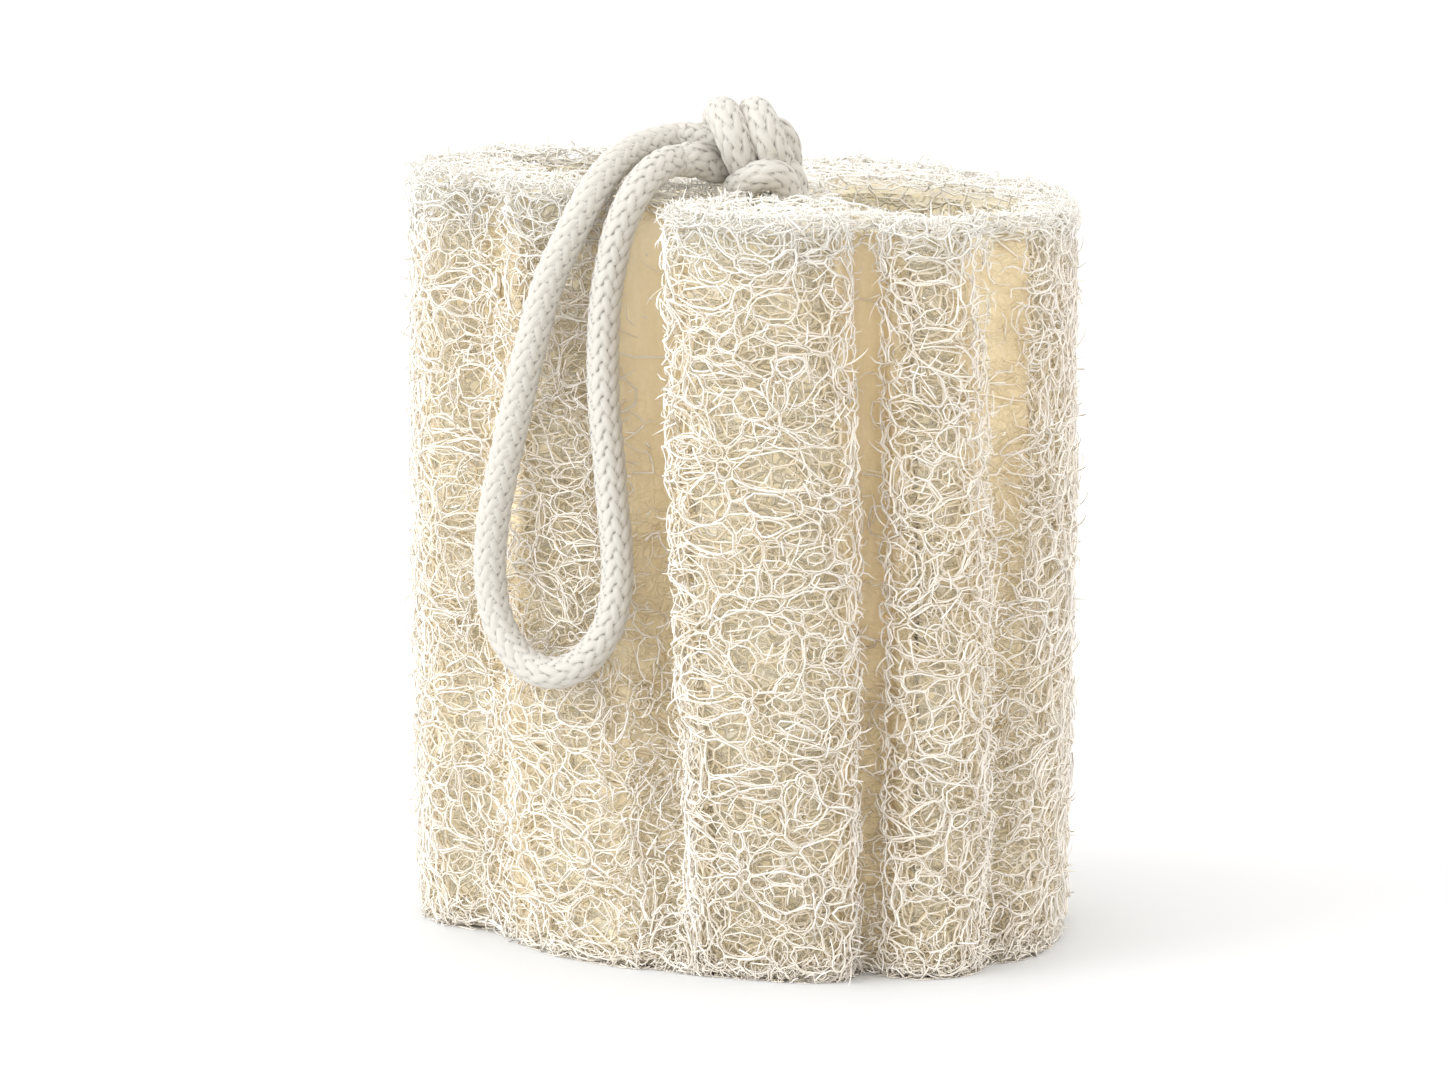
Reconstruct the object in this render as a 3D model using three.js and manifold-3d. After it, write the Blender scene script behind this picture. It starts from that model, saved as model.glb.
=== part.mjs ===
// A natural loofah sponge: a cut length of a dried luffa gourd's fibre skeleton, fluted outside, with the
// gourd's seed channels running through it, and a braided cotton hanging loop knotted on its top.
// Millimetres, +Z up. The origin is on the surface that the sponge stands on, under its middle.
// -Y is the front, where the loop hangs.
import * as THREE from "three";
import { mergeVertices } from "three/addons/utils/BufferGeometryUtils.js";
import Module from "manifold-3d";

const wasm = await Module();
wasm.setup();

// The sponge's own size
const spongeHeight = 139; // at the middle of the slanting top cut
const topSlant = 0.05; // height lost for each millimetre to the right
const rimRadius = 3; // rounding of the two cut rims

// The raised net: ridges round sunk cells, wider round the sponge than they are tall
const netRows = 14;
const netColumns = 28;
const netStretch = 1.3;
const netJitter = 0.36; // of a cell's pitch
const cellDepth = 1.6;
const cellSlope = 1.7; // how far a cell's side runs in from its ridge
const chordLimit = 0.7; // a ridge is split where it would leave the surface by more

// The cut ends: open pits between the ends of the fibres
const pitPitch = 8.3;
const pitDepth = 2.2;
const pitRadius = [2.8, 3.9];
const pitMargin = 1.2;
const restSpot = [0, 12]; // left whole, on the end that the sponge stands on
const restSpotRadius = 10;

// The hanging cord and its knot
const cordDiameter = 6;
const restGap = 0.3; // between pieces that touch
const tailDepth = 30;
const tailHoleRadius = 4.2;
const tailSpots = [
  [9.2, -12],
  [8.2, -5.4],
];

// The fluted outline, counter-clockwise from the right: where each station is at the base, half way up
// and at the top. The cleft is deep at the top and gone at the base.
const stations = [
  { base: [60.4, 4], waist: [61.6, 4], top: [61.4, 4] },
  { base: [58.4, 20], waist: [60, 21], top: [60.2, 20] },
  { base: [50, 34], waist: [51.5, 36], top: [52, 35] },
  { base: [43, 38.5], waist: [43.5, 39.5], top: [44, 39] },
  { base: [34, 49], waist: [35, 51], top: [35, 50] },
  { base: [20, 55], waist: [21, 57.2], top: [21, 56] },
  { base: [10.5, 48.5], waist: [10.5, 49.5], top: [11, 49] },
  { base: [-1, 55], waist: [-1, 57], top: [0, 56] },
  { base: [-17, 56], waist: [-17, 58.3], top: [-16, 57] },
  { base: [-27, 49], waist: [-27.5, 50.5], top: [-27, 50] },
  { base: [-37, 50], waist: [-38, 52], top: [-37, 51] },
  { base: [-49, 41], waist: [-51, 42], top: [-50, 42] },
  { base: [-51.5, 31], waist: [-53, 32], top: [-52.5, 32] },
  { base: [-58.4, 22], waist: [-60.4, 23], top: [-60.2, 22] },
  { base: [-60.4, 8], waist: [-61.4, 9], top: [-61.2, 8] },
  { base: [-56, -4], waist: [-57.5, -5], top: [-57, -6] },
  { base: [-46, -12], waist: [-47, -12], top: [-47, -9] },
  { base: [-41, -23], waist: [-42, -21], top: [-42, -15] },
  { base: [-32, -36], waist: [-31, -29], top: [-31, -18] },
  { base: [-22, -44], waist: [-21, -31], top: [-20, -17] },
  { base: [-16, -47], waist: [-10, -27.5], top: [-5, -12.5] }, // the cleft's back wall
  { base: [-13, -48.5], waist: [-6.5, -30.5], top: [-1.5, -15.5] }, // its end
  { base: [-10, -50.3], waist: [-8, -38], top: [-6.5, -25] }, // its front wall
  { base: [-6, -52], waist: [-12.5, -50], top: [-14, -46] }, // the front lobe's left edge
  { base: [2, -55], waist: [-4, -56.5], top: [-6, -54.5] },
  { base: [11, -57.8], waist: [10, -58.8], top: [8, -57] },
  { base: [18.5, -57], waist: [20, -54], top: [17.5, -50.5] },
  { base: [22.5, -49], waist: [23, -42], top: [21.5, -42] },
  { base: [29, -54.5], waist: [29.5, -51], top: [28, -49.5] },
  { base: [37, -54], waist: [38, -51], top: [36.5, -49] },
  { base: [42.5, -49.5], waist: [44, -45], top: [42, -42.5] },
  { base: [45.5, -42], waist: [47, -35.5], top: [46, -35] },
  { base: [51, -38.5], waist: [54, -33], top: [54, -32] },
  { base: [57.5, -24], waist: [60, -20], top: [60, -19] },
];

// The two seed channels, each a smooth loop through its corners
const seedChannels = {
  right: [
    [17, -10],
    [21, -23],
    [29, -33],
    [39, -35],
    [47, -25],
    [51, -9],
    [50, 5],
    [41, 17],
    [28, 23],
    [18, 17],
  ],
  left: [
    [-15, 16],
    [-15.5, 32],
    [-25, 42],
    [-38, 38],
    [-43, 24],
    [-36, 11],
    [-23, 8],
  ],
};
const channelSides = 18;
const channelRings = 8;
const channelRipple = 0.8;

// The loop's route, from the back of the knot over the rim, down the front and up again
const loopRoute = [
  [-10, -5.6, 147.8],
  [-12, -5.6, 147.8],
  [-14.9, -7.5, 147.4],
  [-18.5, -10.5, 146.6],
  [-22, -14.6, 145],
  [-25.4, -19.5, 141.8],
  [-28.6, -23, 136.9],
  [-31.8, -24.6, 130.6],
  [-34.7, -25.5, 124.5],
  [-38.2, -26.4, 112.4],
  [-41.3, -26.5, 99],
  [-43.6, -26.5, 88.8],
  [-45.2, -26.6, 80.3],
  [-45.9, -27.2, 71.9],
  [-45, -28.6, 63.8],
  [-42.4, -30.9, 57.8],
  [-38.7, -33.4, 54.2],
  [-34.4, -35.8, 53.2],
  [-30.2, -37, 54.5],
  [-26.6, -37.5, 57.9],
  [-23.8, -37.4, 62.9],
  [-22.6, -36.8, 69.2],
  [-22.6, -35.6, 76.4],
  [-23.3, -34.3, 83.5],
  [-24.1, -32.6, 93],
  [-24.9, -30.8, 102],
  [-25.1, -29, 112],
  [-24.6, -27.6, 120.9],
  [-23.6, -26.7, 127],
  [-22.1, -25.8, 133.3],
  [-19.8, -24.2, 138.6],
  [-17, -20.8, 142.4],
  [-14, -16.2, 144.2],
  [-11.9, -13.2, 144.5],
  [-10, -12, 144.5],
];
const loopSteps = 44;
const cordSides = 10;

// The knot: the cord wound round itself on an axis along X, then down into the sponge
const knotCentre = [1.6, -8.2, 147.6];
const wrapHigh = 5; // centreline radius upwards
const wrapDeep = 5.5; // and front to back
const wrapPitch = 6.1;
const knotSeatRadius = 15; // of the cut end's material that carries it
const wrapStart = -4; // where the first turn tops the knot, from its centre along X

function seededRandom(seed) {
  let state = seed;
  return () => {
    state = (state + 0x6d2b79f5) | 0;
    let t = Math.imul(state ^ (state >>> 15), 1 | state);
    t = (t + Math.imul(t ^ (t >>> 7), 61 | t)) ^ t;
    return ((t ^ (t >>> 14)) >>> 0) / 4294967296;
  };
}

function solidOf(geometry) {
  const bare = new THREE.BufferGeometry();
  bare.setAttribute("position", geometry.getAttribute("position"));
  bare.setIndex(geometry.index);
  const merged = mergeVertices(bare, 1e-4);
  return new wasm.Manifold(
    new wasm.Mesh({
      numProp: 3,
      vertProperties: new Float32Array(merged.attributes.position.array),
      triVerts: new Uint32Array(merged.index.array),
    }),
  );
}

function geometryOf(solid) {
  const mesh = solid.getMesh();
  const geometry = new THREE.BufferGeometry();
  geometry.setAttribute("position", new THREE.BufferAttribute(mesh.vertProperties, mesh.numProp));
  geometry.setIndex(new THREE.BufferAttribute(mesh.triVerts, 1));
  return geometry;
}

const joined = (solids) => solids.reduce((all, next) => all.add(next));
const topHeight = (x) => spongeHeight - topSlant * x;

// The outline at a share of the height: a parabola through each station's three places
function outlineAt(share) {
  const base = (1 - share) * (1 - 2 * share);
  const waist = 4 * share * (1 - share);
  const top = share * (2 * share - 1);
  const points = stations.map(
    (s) =>
      new THREE.Vector3(
        base * s.base[0] + waist * s.waist[0] + top * s.top[0],
        base * s.base[1] + waist * s.waist[1] + top * s.top[1],
        0,
      ),
  );
  return new THREE.CatmullRomCurve3(points, true, "centripetal");
}

const waistOutline = outlineAt(0.5);
waistOutline.arcLengthDivisions = 2000;
const girth = waistOutline.getLength();
const rimArc = (Math.PI / 2) * rimRadius;
const wallLength = spongeHeight - 2 * rimRadius + 2 * rimArc;

// A point of the wall: along is measured round the waist, up follows the wall over both rounded rims
function wallPoint(along, up, depth) {
  const turn = THREE.MathUtils.euclideanModulo(along / girth, 1);
  const down = up < rimArc;
  const bend = down ? up / rimArc : up > wallLength - rimArc ? (wallLength - up) / rimArc : 1;
  const angle = (bend * Math.PI) / 2;
  const inset = rimRadius * (1 - Math.sin(angle));
  const fromEnd = rimRadius * (1 - Math.cos(angle));
  const level = bend === 1 ? rimRadius + up - rimArc : down ? fromEnd : spongeHeight - fromEnd;
  const curve = outlineAt(level / spongeHeight);
  const t = waistOutline.getUtoTmapping(turn);
  const place = curve.getPoint(t);
  const tangent = curve.getTangent(t);
  const outward = new THREE.Vector3(tangent.y, -tangent.x, 0).normalize();
  const normal = outward.clone().multiplyScalar(Math.sin(angle));
  normal.z = down ? -Math.cos(angle) : Math.cos(angle);
  place.addScaledVector(outward, -inset);
  place.z = (level * topHeight(place.x)) / spongeHeight;
  return place.addScaledVector(normal, -depth);
}

// The part of a polygon that is nearer to the origin than to the point (x, y)
function nearerPart(polygon, x, y) {
  const limit = (x * x + y * y) / 2;
  const kept = [];
  polygon.forEach((p, i) => {
    const q = polygon[(i + 1) % polygon.length];
    const dp = p[0] * x + p[1] * y - limit;
    const dq = q[0] * x + q[1] * y - limit;
    if (dp <= 0) kept.push(p);
    if (dp * dq < 0) {
      const s = dp / (dp - dq);
      kept.push([p[0] + s * (q[0] - p[0]), p[1] + s * (q[1] - p[1])]);
    }
  });
  return kept;
}

// Irregular cells that fill the unrolled wall: the regions nearest to seeds set out in jittered rows
function netCells() {
  const random = seededRandom(7);
  const columnPitch = girth / netColumns;
  const tall = wallLength * netStretch;
  const rowPitch = tall / netRows;
  const seeds = [];
  for (let row = 0; row < netRows; row++)
    for (let column = 0; column < netColumns; column++)
      seeds.push([
        (column + (row % 2) / 2 + netJitter * (2 * random() - 1)) * columnPitch,
        (row + 0.5 + netJitter * (2 * random() - 1)) * rowPitch,
      ]);
  const reach = 3 * columnPitch;
  return seeds.map(([along, up], self) => {
    let cell = [
      [-reach, -up],
      [reach, -up],
      [reach, tall - up],
      [-reach, tall - up],
    ];
    seeds.forEach(([otherAlong, otherUp], other) => {
      const dx = THREE.MathUtils.euclideanModulo(otherAlong - along + girth / 2, girth) - girth / 2;
      const dy = otherUp - up;
      if (other !== self && Math.hypot(dx, dy) < 2 * reach) cell = nearerPart(cell, dx, dy);
    });
    return cell.map(([x, y]) => [
      THREE.MathUtils.euclideanModulo(along + x, girth),
      (up + y) / netStretch,
    ]);
  });
}

// The wall as one closed skin: cells sunk between ridges, and a flat cut at each end
function netWall() {
  const places = [];
  const flat = [];
  const faces = [];
  const add = (along, up, depth) => {
    places.push(wallPoint(along, up, depth));
    flat.push([along, up]);
    return places.length - 1;
  };
  const unwrap = (along, near) =>
    near + THREE.MathUtils.euclideanModulo(along - near + girth / 2, girth) - girth / 2;
  const corners = [];
  const cornerAt = (along, up) => {
    const found = corners.find(
      (i) => Math.abs(flat[i][1] - up) < 1e-4 && Math.abs(unwrap(flat[i][0], along) - along) < 1e-4,
    );
    if (found !== undefined) return found;
    corners.push(add(along, up, 0));
    return corners[corners.length - 1];
  };
  // A ridge from one corner to the next, split where the surface bends away from it
  const ridges = new Map();
  const splitRidge = (a, b, level) => {
    const along = (flat[a][0] + unwrap(flat[b][0], flat[a][0])) / 2;
    const up = (flat[a][1] + flat[b][1]) / 2;
    const middle = wallPoint(along, up, 0);
    const chord = places[a].clone().add(places[b]).multiplyScalar(0.5);
    if (level === 0 || middle.distanceTo(chord) < chordLimit) return [];
    const i = add(along, up, 0);
    return [...splitRidge(a, i, level - 1), i, ...splitRidge(i, b, level - 1)];
  };
  const ridge = (a, b) => {
    const key = Math.min(a, b) + ":" + Math.max(a, b);
    if (!ridges.has(key)) ridges.set(key, splitRidge(Math.min(a, b), Math.max(a, b), 2));
    return a < b ? ridges.get(key) : [...ridges.get(key)].reverse();
  };
  for (const cell of netCells()) {
    const ring = [];
    const ids = cell.map(([along, up]) => cornerAt(along, up)).filter((id, i, all) => id !== all.at(i - 1));
    ids.forEach((id, i) => ring.push(id, ...ridge(id, ids[(i + 1) % ids.length])));
    const near = flat[ring[0]][0];
    const outline = ring.map((i) => [unwrap(flat[i][0], near), flat[i][1]]);
    const middle = [0, 1].map((k) => outline.reduce((sum, p) => sum + p[k], 0) / outline.length);
    const inner = outline.map(([along, up]) => {
      const away = Math.hypot(middle[0] - along, middle[1] - up);
      const share = Math.min(0.5, cellSlope / away);
      return add(along + share * (middle[0] - along), up + share * (middle[1] - up), cellDepth);
    });
    const floor = add(middle[0], middle[1], cellDepth);
    ring.forEach((p, i) => {
      const j = (i + 1) % ring.length;
      faces.push([p, ring[j], inner[j]], [p, inner[j], inner[i]], [inner[i], inner[j], floor]);
    });
  }
  for (const end of [0, wallLength]) {
    const rim = flat.flatMap(([, up], i) => (Math.abs(up - end) < 1e-4 ? [i] : []));
    rim.sort((a, b) => flat[a][0] - flat[b][0]);
    const contour = rim.map((i) => new THREE.Vector2(places[i].x, places[i].y));
    for (const [a, b, c] of THREE.ShapeUtils.triangulateShape(contour, [])) {
      const up = THREE.ShapeUtils.area([contour[a], contour[b], contour[c]]) > 0;
      faces.push(up === end > 0 ? [rim[a], rim[b], rim[c]] : [rim[a], rim[c], rim[b]]);
    }
  }
  const geometry = new THREE.BufferGeometry().setFromPoints(places);
  geometry.setIndex(faces.flat());
  return solidOf(geometry);
}

function channelSection(corners) {
  const points = corners.map(([x, y]) => new THREE.Vector3(x, y, 0));
  return new THREE.CatmullRomCurve3(points, true, "centripetal");
}

// A seed channel: its section rippled a little from ring to ring, through both cut ends
function channelCut(corners, seed) {
  const random = seededRandom(seed);
  const section = channelSection(corners).getSpacedPoints(channelSides).slice(0, channelSides);
  const clockwise = THREE.ShapeUtils.area(section) < 0;
  if (clockwise) section.reverse();
  const middle = section.reduce((sum, p) => sum.add(p), new THREE.Vector3()).divideScalar(channelSides);
  const places = [];
  const faces = [];
  const past = 5;
  for (let ring = 0; ring < channelRings; ring++) {
    const z = -past + (ring / (channelRings - 1)) * (spongeHeight + 3 * past);
    for (const p of section) {
      const out = p.clone().sub(middle).normalize();
      const spot = p.clone().addScaledVector(out, channelRipple * (2 * random() - 1));
      places.push(spot.setZ(z));
    }
  }
  const at = (ring, side) => ring * channelSides + (side % channelSides);
  for (let ring = 0; ring + 1 < channelRings; ring++)
    for (let side = 0; side < channelSides; side++)
      faces.push(
        [at(ring, side), at(ring, side + 1), at(ring + 1, side + 1)],
        [at(ring, side), at(ring + 1, side + 1), at(ring + 1, side)],
      );
  for (const [a, b, c] of THREE.ShapeUtils.triangulateShape(section, [])) {
    const last = (channelRings - 1) * channelSides;
    const ccw = THREE.ShapeUtils.area([section[a], section[b], section[c]]) > 0;
    const [p, q, r] = ccw ? [a, b, c] : [a, c, b];
    faces.push([r, q, p], [last + p, last + q, last + r]);
  }
  const geometry = new THREE.BufferGeometry().setFromPoints(places);
  geometry.setIndex(faces.flat());
  return solidOf(geometry);
}

// How far a plan point is from a closed loop of plan points, negative outside it
function depthInside(x, y, loop) {
  let inside = false;
  let nearest = Infinity;
  loop.forEach((p, i) => {
    const q = loop[(i + 1) % loop.length];
    if (p.y > y !== q.y > y && x < ((q.x - p.x) * (y - p.y)) / (q.y - p.y) + p.x) inside = !inside;
    nearest = Math.min(nearest, Math.hypot(p.x - x, p.y - y));
  });
  return inside ? nearest : -nearest;
}

// Open pits over a cut end, clear of its rim, the channels and the place where something rests on it
function endPits(share, seed) {
  const random = seededRandom(seed);
  const facing = share === 1 ? 1 : -1;
  const knotSpot = [knotCentre[0] + 1.5, knotCentre[1], knotSeatRadius];
  const [restX, restY, restRadius] = share === 1 ? knotSpot : [...restSpot, restSpotRadius];
  const rim = outlineAt(share).getSpacedPoints(300);
  const loops = Object.values(seedChannels).map((corners) => channelSection(corners).getSpacedPoints(80));
  const pits = [];
  for (let x = -60; x < 62; x += pitPitch)
    for (let y = -60; y < 60; y += pitPitch) {
      const radius = THREE.MathUtils.lerp(pitRadius[0], pitRadius[1], random());
      const px = x + 0.3 * pitPitch * (2 * random() - 1);
      const py = y + 0.3 * pitPitch * (2 * random() - 1);
      const turn = random() * Math.PI;
      const clear = radius + pitMargin;
      const kept = Math.hypot(px - restX, py - restY) < restRadius;
      const inRim = depthInside(px, py, rim) > clear + rimRadius;
      const offChannels = loops.every((loop) => depthInside(px, py, loop) < -clear - channelRipple);
      if (kept || !inRim || !offChannels) continue;
      const pit = new THREE.ConeGeometry(2 * radius, 2 * pitDepth, 6);
      pit.rotateX((-facing * Math.PI) / 2);
      pit.rotateZ(turn);
      pit.scale(1.1, 0.9, 1);
      pit.translate(px, py, share === 1 ? topHeight(px) : 0);
      pits.push(solidOf(pit));
    }
  return joined(pits);
}

// The two blind holes, side by side, that the cord's tails go down
function tailHoles() {
  const over = 10;
  const holes = tailSpots.map(([x, y]) => {
    const bottom = topHeight(x) - tailDepth - restGap;
    const hole = new THREE.CylinderGeometry(tailHoleRadius, tailHoleRadius, tailDepth + over, 12);
    hole.rotateX(Math.PI / 2);
    hole.translate(x, y, bottom + (tailDepth + over) / 2);
    return solidOf(hole);
  });
  return joined(holes);
}

function sponge() {
  const channels = Object.values(seedChannels).map((corners, i) => channelCut(corners, 20 + i));
  return netWall()
    .subtract(joined(channels))
    .subtract(tailHoles())
    .subtract(endPits(1, 31))
    .subtract(endPits(0, 32));
}

// A round cord along a smooth route
function cordAlong(route, steps, sides) {
  const path = new THREE.CatmullRomCurve3(
    route.map((p) => new THREE.Vector3(...p)),
    false,
    "centripetal",
  );
  const section = new THREE.Shape();
  section.absarc(0, 0, cordDiameter / 2, 0, 2 * Math.PI);
  const shape = new THREE.Shape(section.getSpacedPoints(sides).slice(0, sides));
  return new THREE.ExtrudeGeometry(shape, { extrudePath: path, steps, bevelEnabled: false });
}

// A stretch of the winding, from one turn count to another
function wrapRoute(from, to) {
  const count = Math.ceil((to - from) * 10);
  return Array.from({ length: count + 1 }, (_, i) => {
    const turns = from + ((to - from) * i) / count;
    const angle = 2 * Math.PI * turns;
    return [
      knotCentre[0] + wrapStart + wrapPitch * turns,
      knotCentre[1] - wrapDeep * Math.sin(angle),
      knotCentre[2] + wrapHigh * Math.cos(angle),
    ];
  });
}

function knot() {
  const [x, y, z] = knotCentre;
  const seat = topHeight(x) + restGap + cordDiameter / 2;
  const [frontTail, backTail] = tailSpots;
  const tailEnd = ([tx]) => topHeight(tx) - tailDepth;
  const strands = [
    // the loop's back end runs through the winding and turns down at its right
    [
      [-9.7, -5.6, 147.8],
      [-8, -5.6, 147.8],
      [x - 5, y + 1.6, z],
      [x + 2, y + 1, z - 0.2],
      [backTail[0] - 1.2, backTail[1] - 0.4, z - 1],
      [backTail[0], backTail[1], seat - 0.5],
      [backTail[0], backTail[1], seat - 8],
      [backTail[0], backTail[1], tailEnd(backTail)],
    ],
    // its front end starts the winding from below, and leaves it along the seat
    [[-9.7, -11.81, 144.5], [-8.12, -10.81, 144.5], ...wrapRoute(-0.46, 0.5)],
    [
      ...wrapRoute(0.4, 1.36),
      [frontTail[0] - 3, frontTail[1] - 0.6, seat + 0.8],
      [frontTail[0] - 0.6, frontTail[1], seat - 1.2],
      [frontTail[0], frontTail[1], seat - 6],
      [frontTail[0], frontTail[1], tailEnd(frontTail)],
    ],
  ];
  return joined(strands.map((route) => solidOf(cordAlong(route, 2 * route.length, 8))));
}

const spongeMaterial = new THREE.MeshStandardMaterial({ color: 0xefe4c4, roughness: 0.85 });
const cordMaterial = new THREE.MeshStandardMaterial({ color: 0xe9e6df, roughness: 0.9 });

function named(name, geometry, material) {
  const mesh = new THREE.Mesh(geometry, material);
  mesh.name = name;
  return mesh;
}

const part = new THREE.Group();
part.add(
  named("loofah_sponge", geometryOf(sponge()), spongeMaterial),
  named("cord_loop", cordAlong(loopRoute, loopSteps, cordSides), cordMaterial),
  named("cord_knot", geometryOf(knot()), cordMaterial),
);

export default part;
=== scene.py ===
import math
from functools import partial
from types import SimpleNamespace

import bpy
import numpy as np
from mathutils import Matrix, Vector, geometry


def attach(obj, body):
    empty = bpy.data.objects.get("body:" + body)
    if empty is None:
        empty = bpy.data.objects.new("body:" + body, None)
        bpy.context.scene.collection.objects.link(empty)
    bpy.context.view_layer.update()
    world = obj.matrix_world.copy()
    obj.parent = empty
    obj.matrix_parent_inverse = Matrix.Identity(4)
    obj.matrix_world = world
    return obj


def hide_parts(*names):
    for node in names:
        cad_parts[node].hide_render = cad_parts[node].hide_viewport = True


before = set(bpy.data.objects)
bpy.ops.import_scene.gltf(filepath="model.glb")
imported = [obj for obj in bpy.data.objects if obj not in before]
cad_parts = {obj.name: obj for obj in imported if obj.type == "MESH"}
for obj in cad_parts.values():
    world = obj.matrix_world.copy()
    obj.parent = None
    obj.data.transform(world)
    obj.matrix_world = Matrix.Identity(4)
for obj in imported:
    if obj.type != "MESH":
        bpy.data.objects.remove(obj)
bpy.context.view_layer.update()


# A smooth curve through corners at the parameters t, one unit to each stretch; the spacing of its knots
# is the square root of the distance between corners.
def smoothCurve(corners, t, closed=False):
    p = np.asarray(corners, float)
    if closed:
        p = np.vstack([p[-1:], p, p[:2]])
    else:
        p = np.vstack([2 * p[:1] - p[1:2], p, 2 * p[-1:] - p[-2:-1]])
    i = np.clip(np.floor(t).astype(int), 0, len(p) - 4)
    f = (t - i)[:, None]
    a, b, c, d = p[i], p[i + 1], p[i + 2], p[i + 3]
    ab, bc, cd = (np.sqrt(np.linalg.norm(v, axis=1))[:, None] for v in (b - a, c - b, d - c))
    leave = ((b - a) / ab - (c - a) / (ab + bc) + (c - b) / bc) * bc
    arrive = ((c - b) / bc - (d - b) / (bc + cd) + (d - c) / cd) * bc
    return (b + f * leave + f**2 * (3 * (c - b) - 2 * leave - arrive)
            + f**3 * (2 * (b - c) + leave + arrive))


# How far a line has come at each of its points
def runAlong(points):
    return np.concatenate([[0], np.cumsum(np.linalg.norm(np.diff(points, axis=0), axis=1))])


# An open smooth curve at points an even distance apart, and its length
def evenCurve(corners, step):
    t = np.linspace(0, len(corners) - 1, 60 * len(corners))
    run = runAlong(smoothCurve(corners, t))
    count = int(round(run[-1] / step)) + 1
    return smoothCurve(corners, np.interp(np.linspace(0, run[-1], count), run, t)), run[-1]


# Even steps round a closed curve: their parameters, then a fine table of parameters and of the way run
def evenTurn(corners, steps, fineness):
    t = np.linspace(0, len(corners), fineness * len(corners) + 1)
    fine = smoothCurve(corners, t[:-1], closed=True)
    run = runAlong(np.vstack([fine, fine[:1]]))
    return np.interp(np.arange(steps) / steps * run[-1], run, t), t, run


# Three corners rounded by a quadratic B-spline, at the share f of its stretch: the weights are half of
# (1 - f)^2, 1 + 2 f - 2 f^2 and f^2
def rounded(p, q, r, f):
    return 0.5 * ((1 - f) ** 2 * p + (1 + 2 * f - 2 * f**2) * q + f**2 * r)


def unit(v):
    return v / np.maximum(np.linalg.norm(v, axis=-1, keepdims=True), 1e-12)


# The outward directions of flat rings that run counter-clockwise
def outwardOf(rings):
    along = unit(np.roll(rings, -1, axis=-2) - np.roll(rings, 1, axis=-2))
    return np.stack([along[..., 1], -along[..., 0]], axis=-1)


# Four-sided faces between rings of points, each ring closed on itself
def bandFaces(rings, around):
    i, j = np.arange(rings - 1)[:, None] * around, np.arange(around)[None, :]
    k = (j + 1) % around
    return np.stack([i + j, i + k, i + around + k, i + around + j], axis=-1).reshape(-1, 4)


# Every four-sided face as two triangles
def halved(quads):
    return np.vstack([quads[:, [0, 1, 2]], quads[:, [0, 2, 3]]])


# A piece from whole arrays: points, four- or three-sided faces, and values carried at the points. It
# rides the root body and stands for one of the frame's nodes.
def makePiece(name, node, material, points, faces, values):
    mesh = bpy.data.meshes.new(name)
    mesh.vertices.add(len(points))
    mesh.vertices.foreach_set("co", np.asarray(points, np.float32).ravel())
    sides = faces.shape[1]
    mesh.loops.add(faces.size)
    mesh.loops.foreach_set("vertex_index", faces.astype(np.int32).ravel())
    mesh.polygons.add(len(faces))
    mesh.polygons.foreach_set("loop_start", np.arange(0, faces.size, sides, dtype=np.int32))
    mesh.polygons.foreach_set("use_smooth", np.ones(len(faces), bool))
    mesh.update(calc_edges=True)
    for key, numbers in values.items():
        mesh.attributes.new(key, "FLOAT", "POINT").data.foreach_set("value", np.float32(numbers))
    mesh.materials.append(material)
    piece = bpy.data.objects.new(name, mesh)
    bpy.context.scene.collection.objects.link(piece)
    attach(piece, "root")
    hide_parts(node)
    print(name, (sides - 2) * len(faces), "triangles")
    return piece


# A camera or a lamp, placed and turned towards a height on the sponge's axis
def aimed(name, data, place, height):
    made = bpy.data.objects.new(name, data)
    made.location = place
    made.rotation_euler = (Vector((0, 0, height)) - made.location).to_track_quat("-Z", "Y").to_euler()
    bpy.context.scene.collection.objects.link(made)
    return made


cameraSetup = {
    "place": (0, -1.5, 0.3),
    "aimHeight": 0.07,
    "lens": 202.7,  # mm on a 36 mm wide sensor
    "shift": (-0.0117, 0.0061),
}


def makeCamera(s):
    data = bpy.data.cameras.new("camera")
    data.lens, data.sensor_width, data.clip_end = s["lens"], 36, 20
    data.shift_x, data.shift_y = s["shift"]
    bpy.context.scene.camera = aimed("camera", data, s["place"], s["aimHeight"])


makeCamera(cameraSetup)
print("camera set")


# A node of a tree with its settings. Each input given is set, or linked where it is another node's output.
def addNode(tree, kind, inputs={}, **settings):
    made = tree.nodes.new("ShaderNode" + kind)
    for name, value in settings.items():
        setattr(made, name, value)
    for key, value in inputs.items():
        if isinstance(value, bpy.types.NodeSocket):
            tree.links.new(value, made.inputs[key])
        else:
            made.inputs[key].default_value = value
    return made


def addAttribute(tree, name):
    return addNode(tree, "Attribute", attribute_name=name).outputs["Fac"]


# Colour a mixed with colour b, or multiplied by it
def addMix(tree, factor, a, b, blend="MIX"):
    inputs = {"Factor": factor, "A": a, "B": b}
    return addNode(tree, "Mix", inputs, data_type="RGBA", blend_type=blend).outputs["Result"]


# A colour for each value, between stops of position and colour
def addRamp(tree, value, stops):
    made = addNode(tree, "ValToRGB", {"Fac": value})
    elements = made.color_ramp.elements
    for element, (position, color) in zip(elements, (stops[0], stops[-1])):
        element.position, element.color = position, (*color, 1)
    for position, color in stops[1:-1]:
        elements.new(position).color = (*color, 1)
    return made.outputs["Color"]


# A value stretched from one range to another
def addRange(tree, value, start, end, toStart, toEnd, way="LINEAR"):
    inputs = {"Value": value, "From Min": start, "From Max": end, "To Min": toStart, "To Max": toEnd}
    return addNode(tree, "MapRange", inputs, interpolation_type=way).outputs["Result"]


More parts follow.
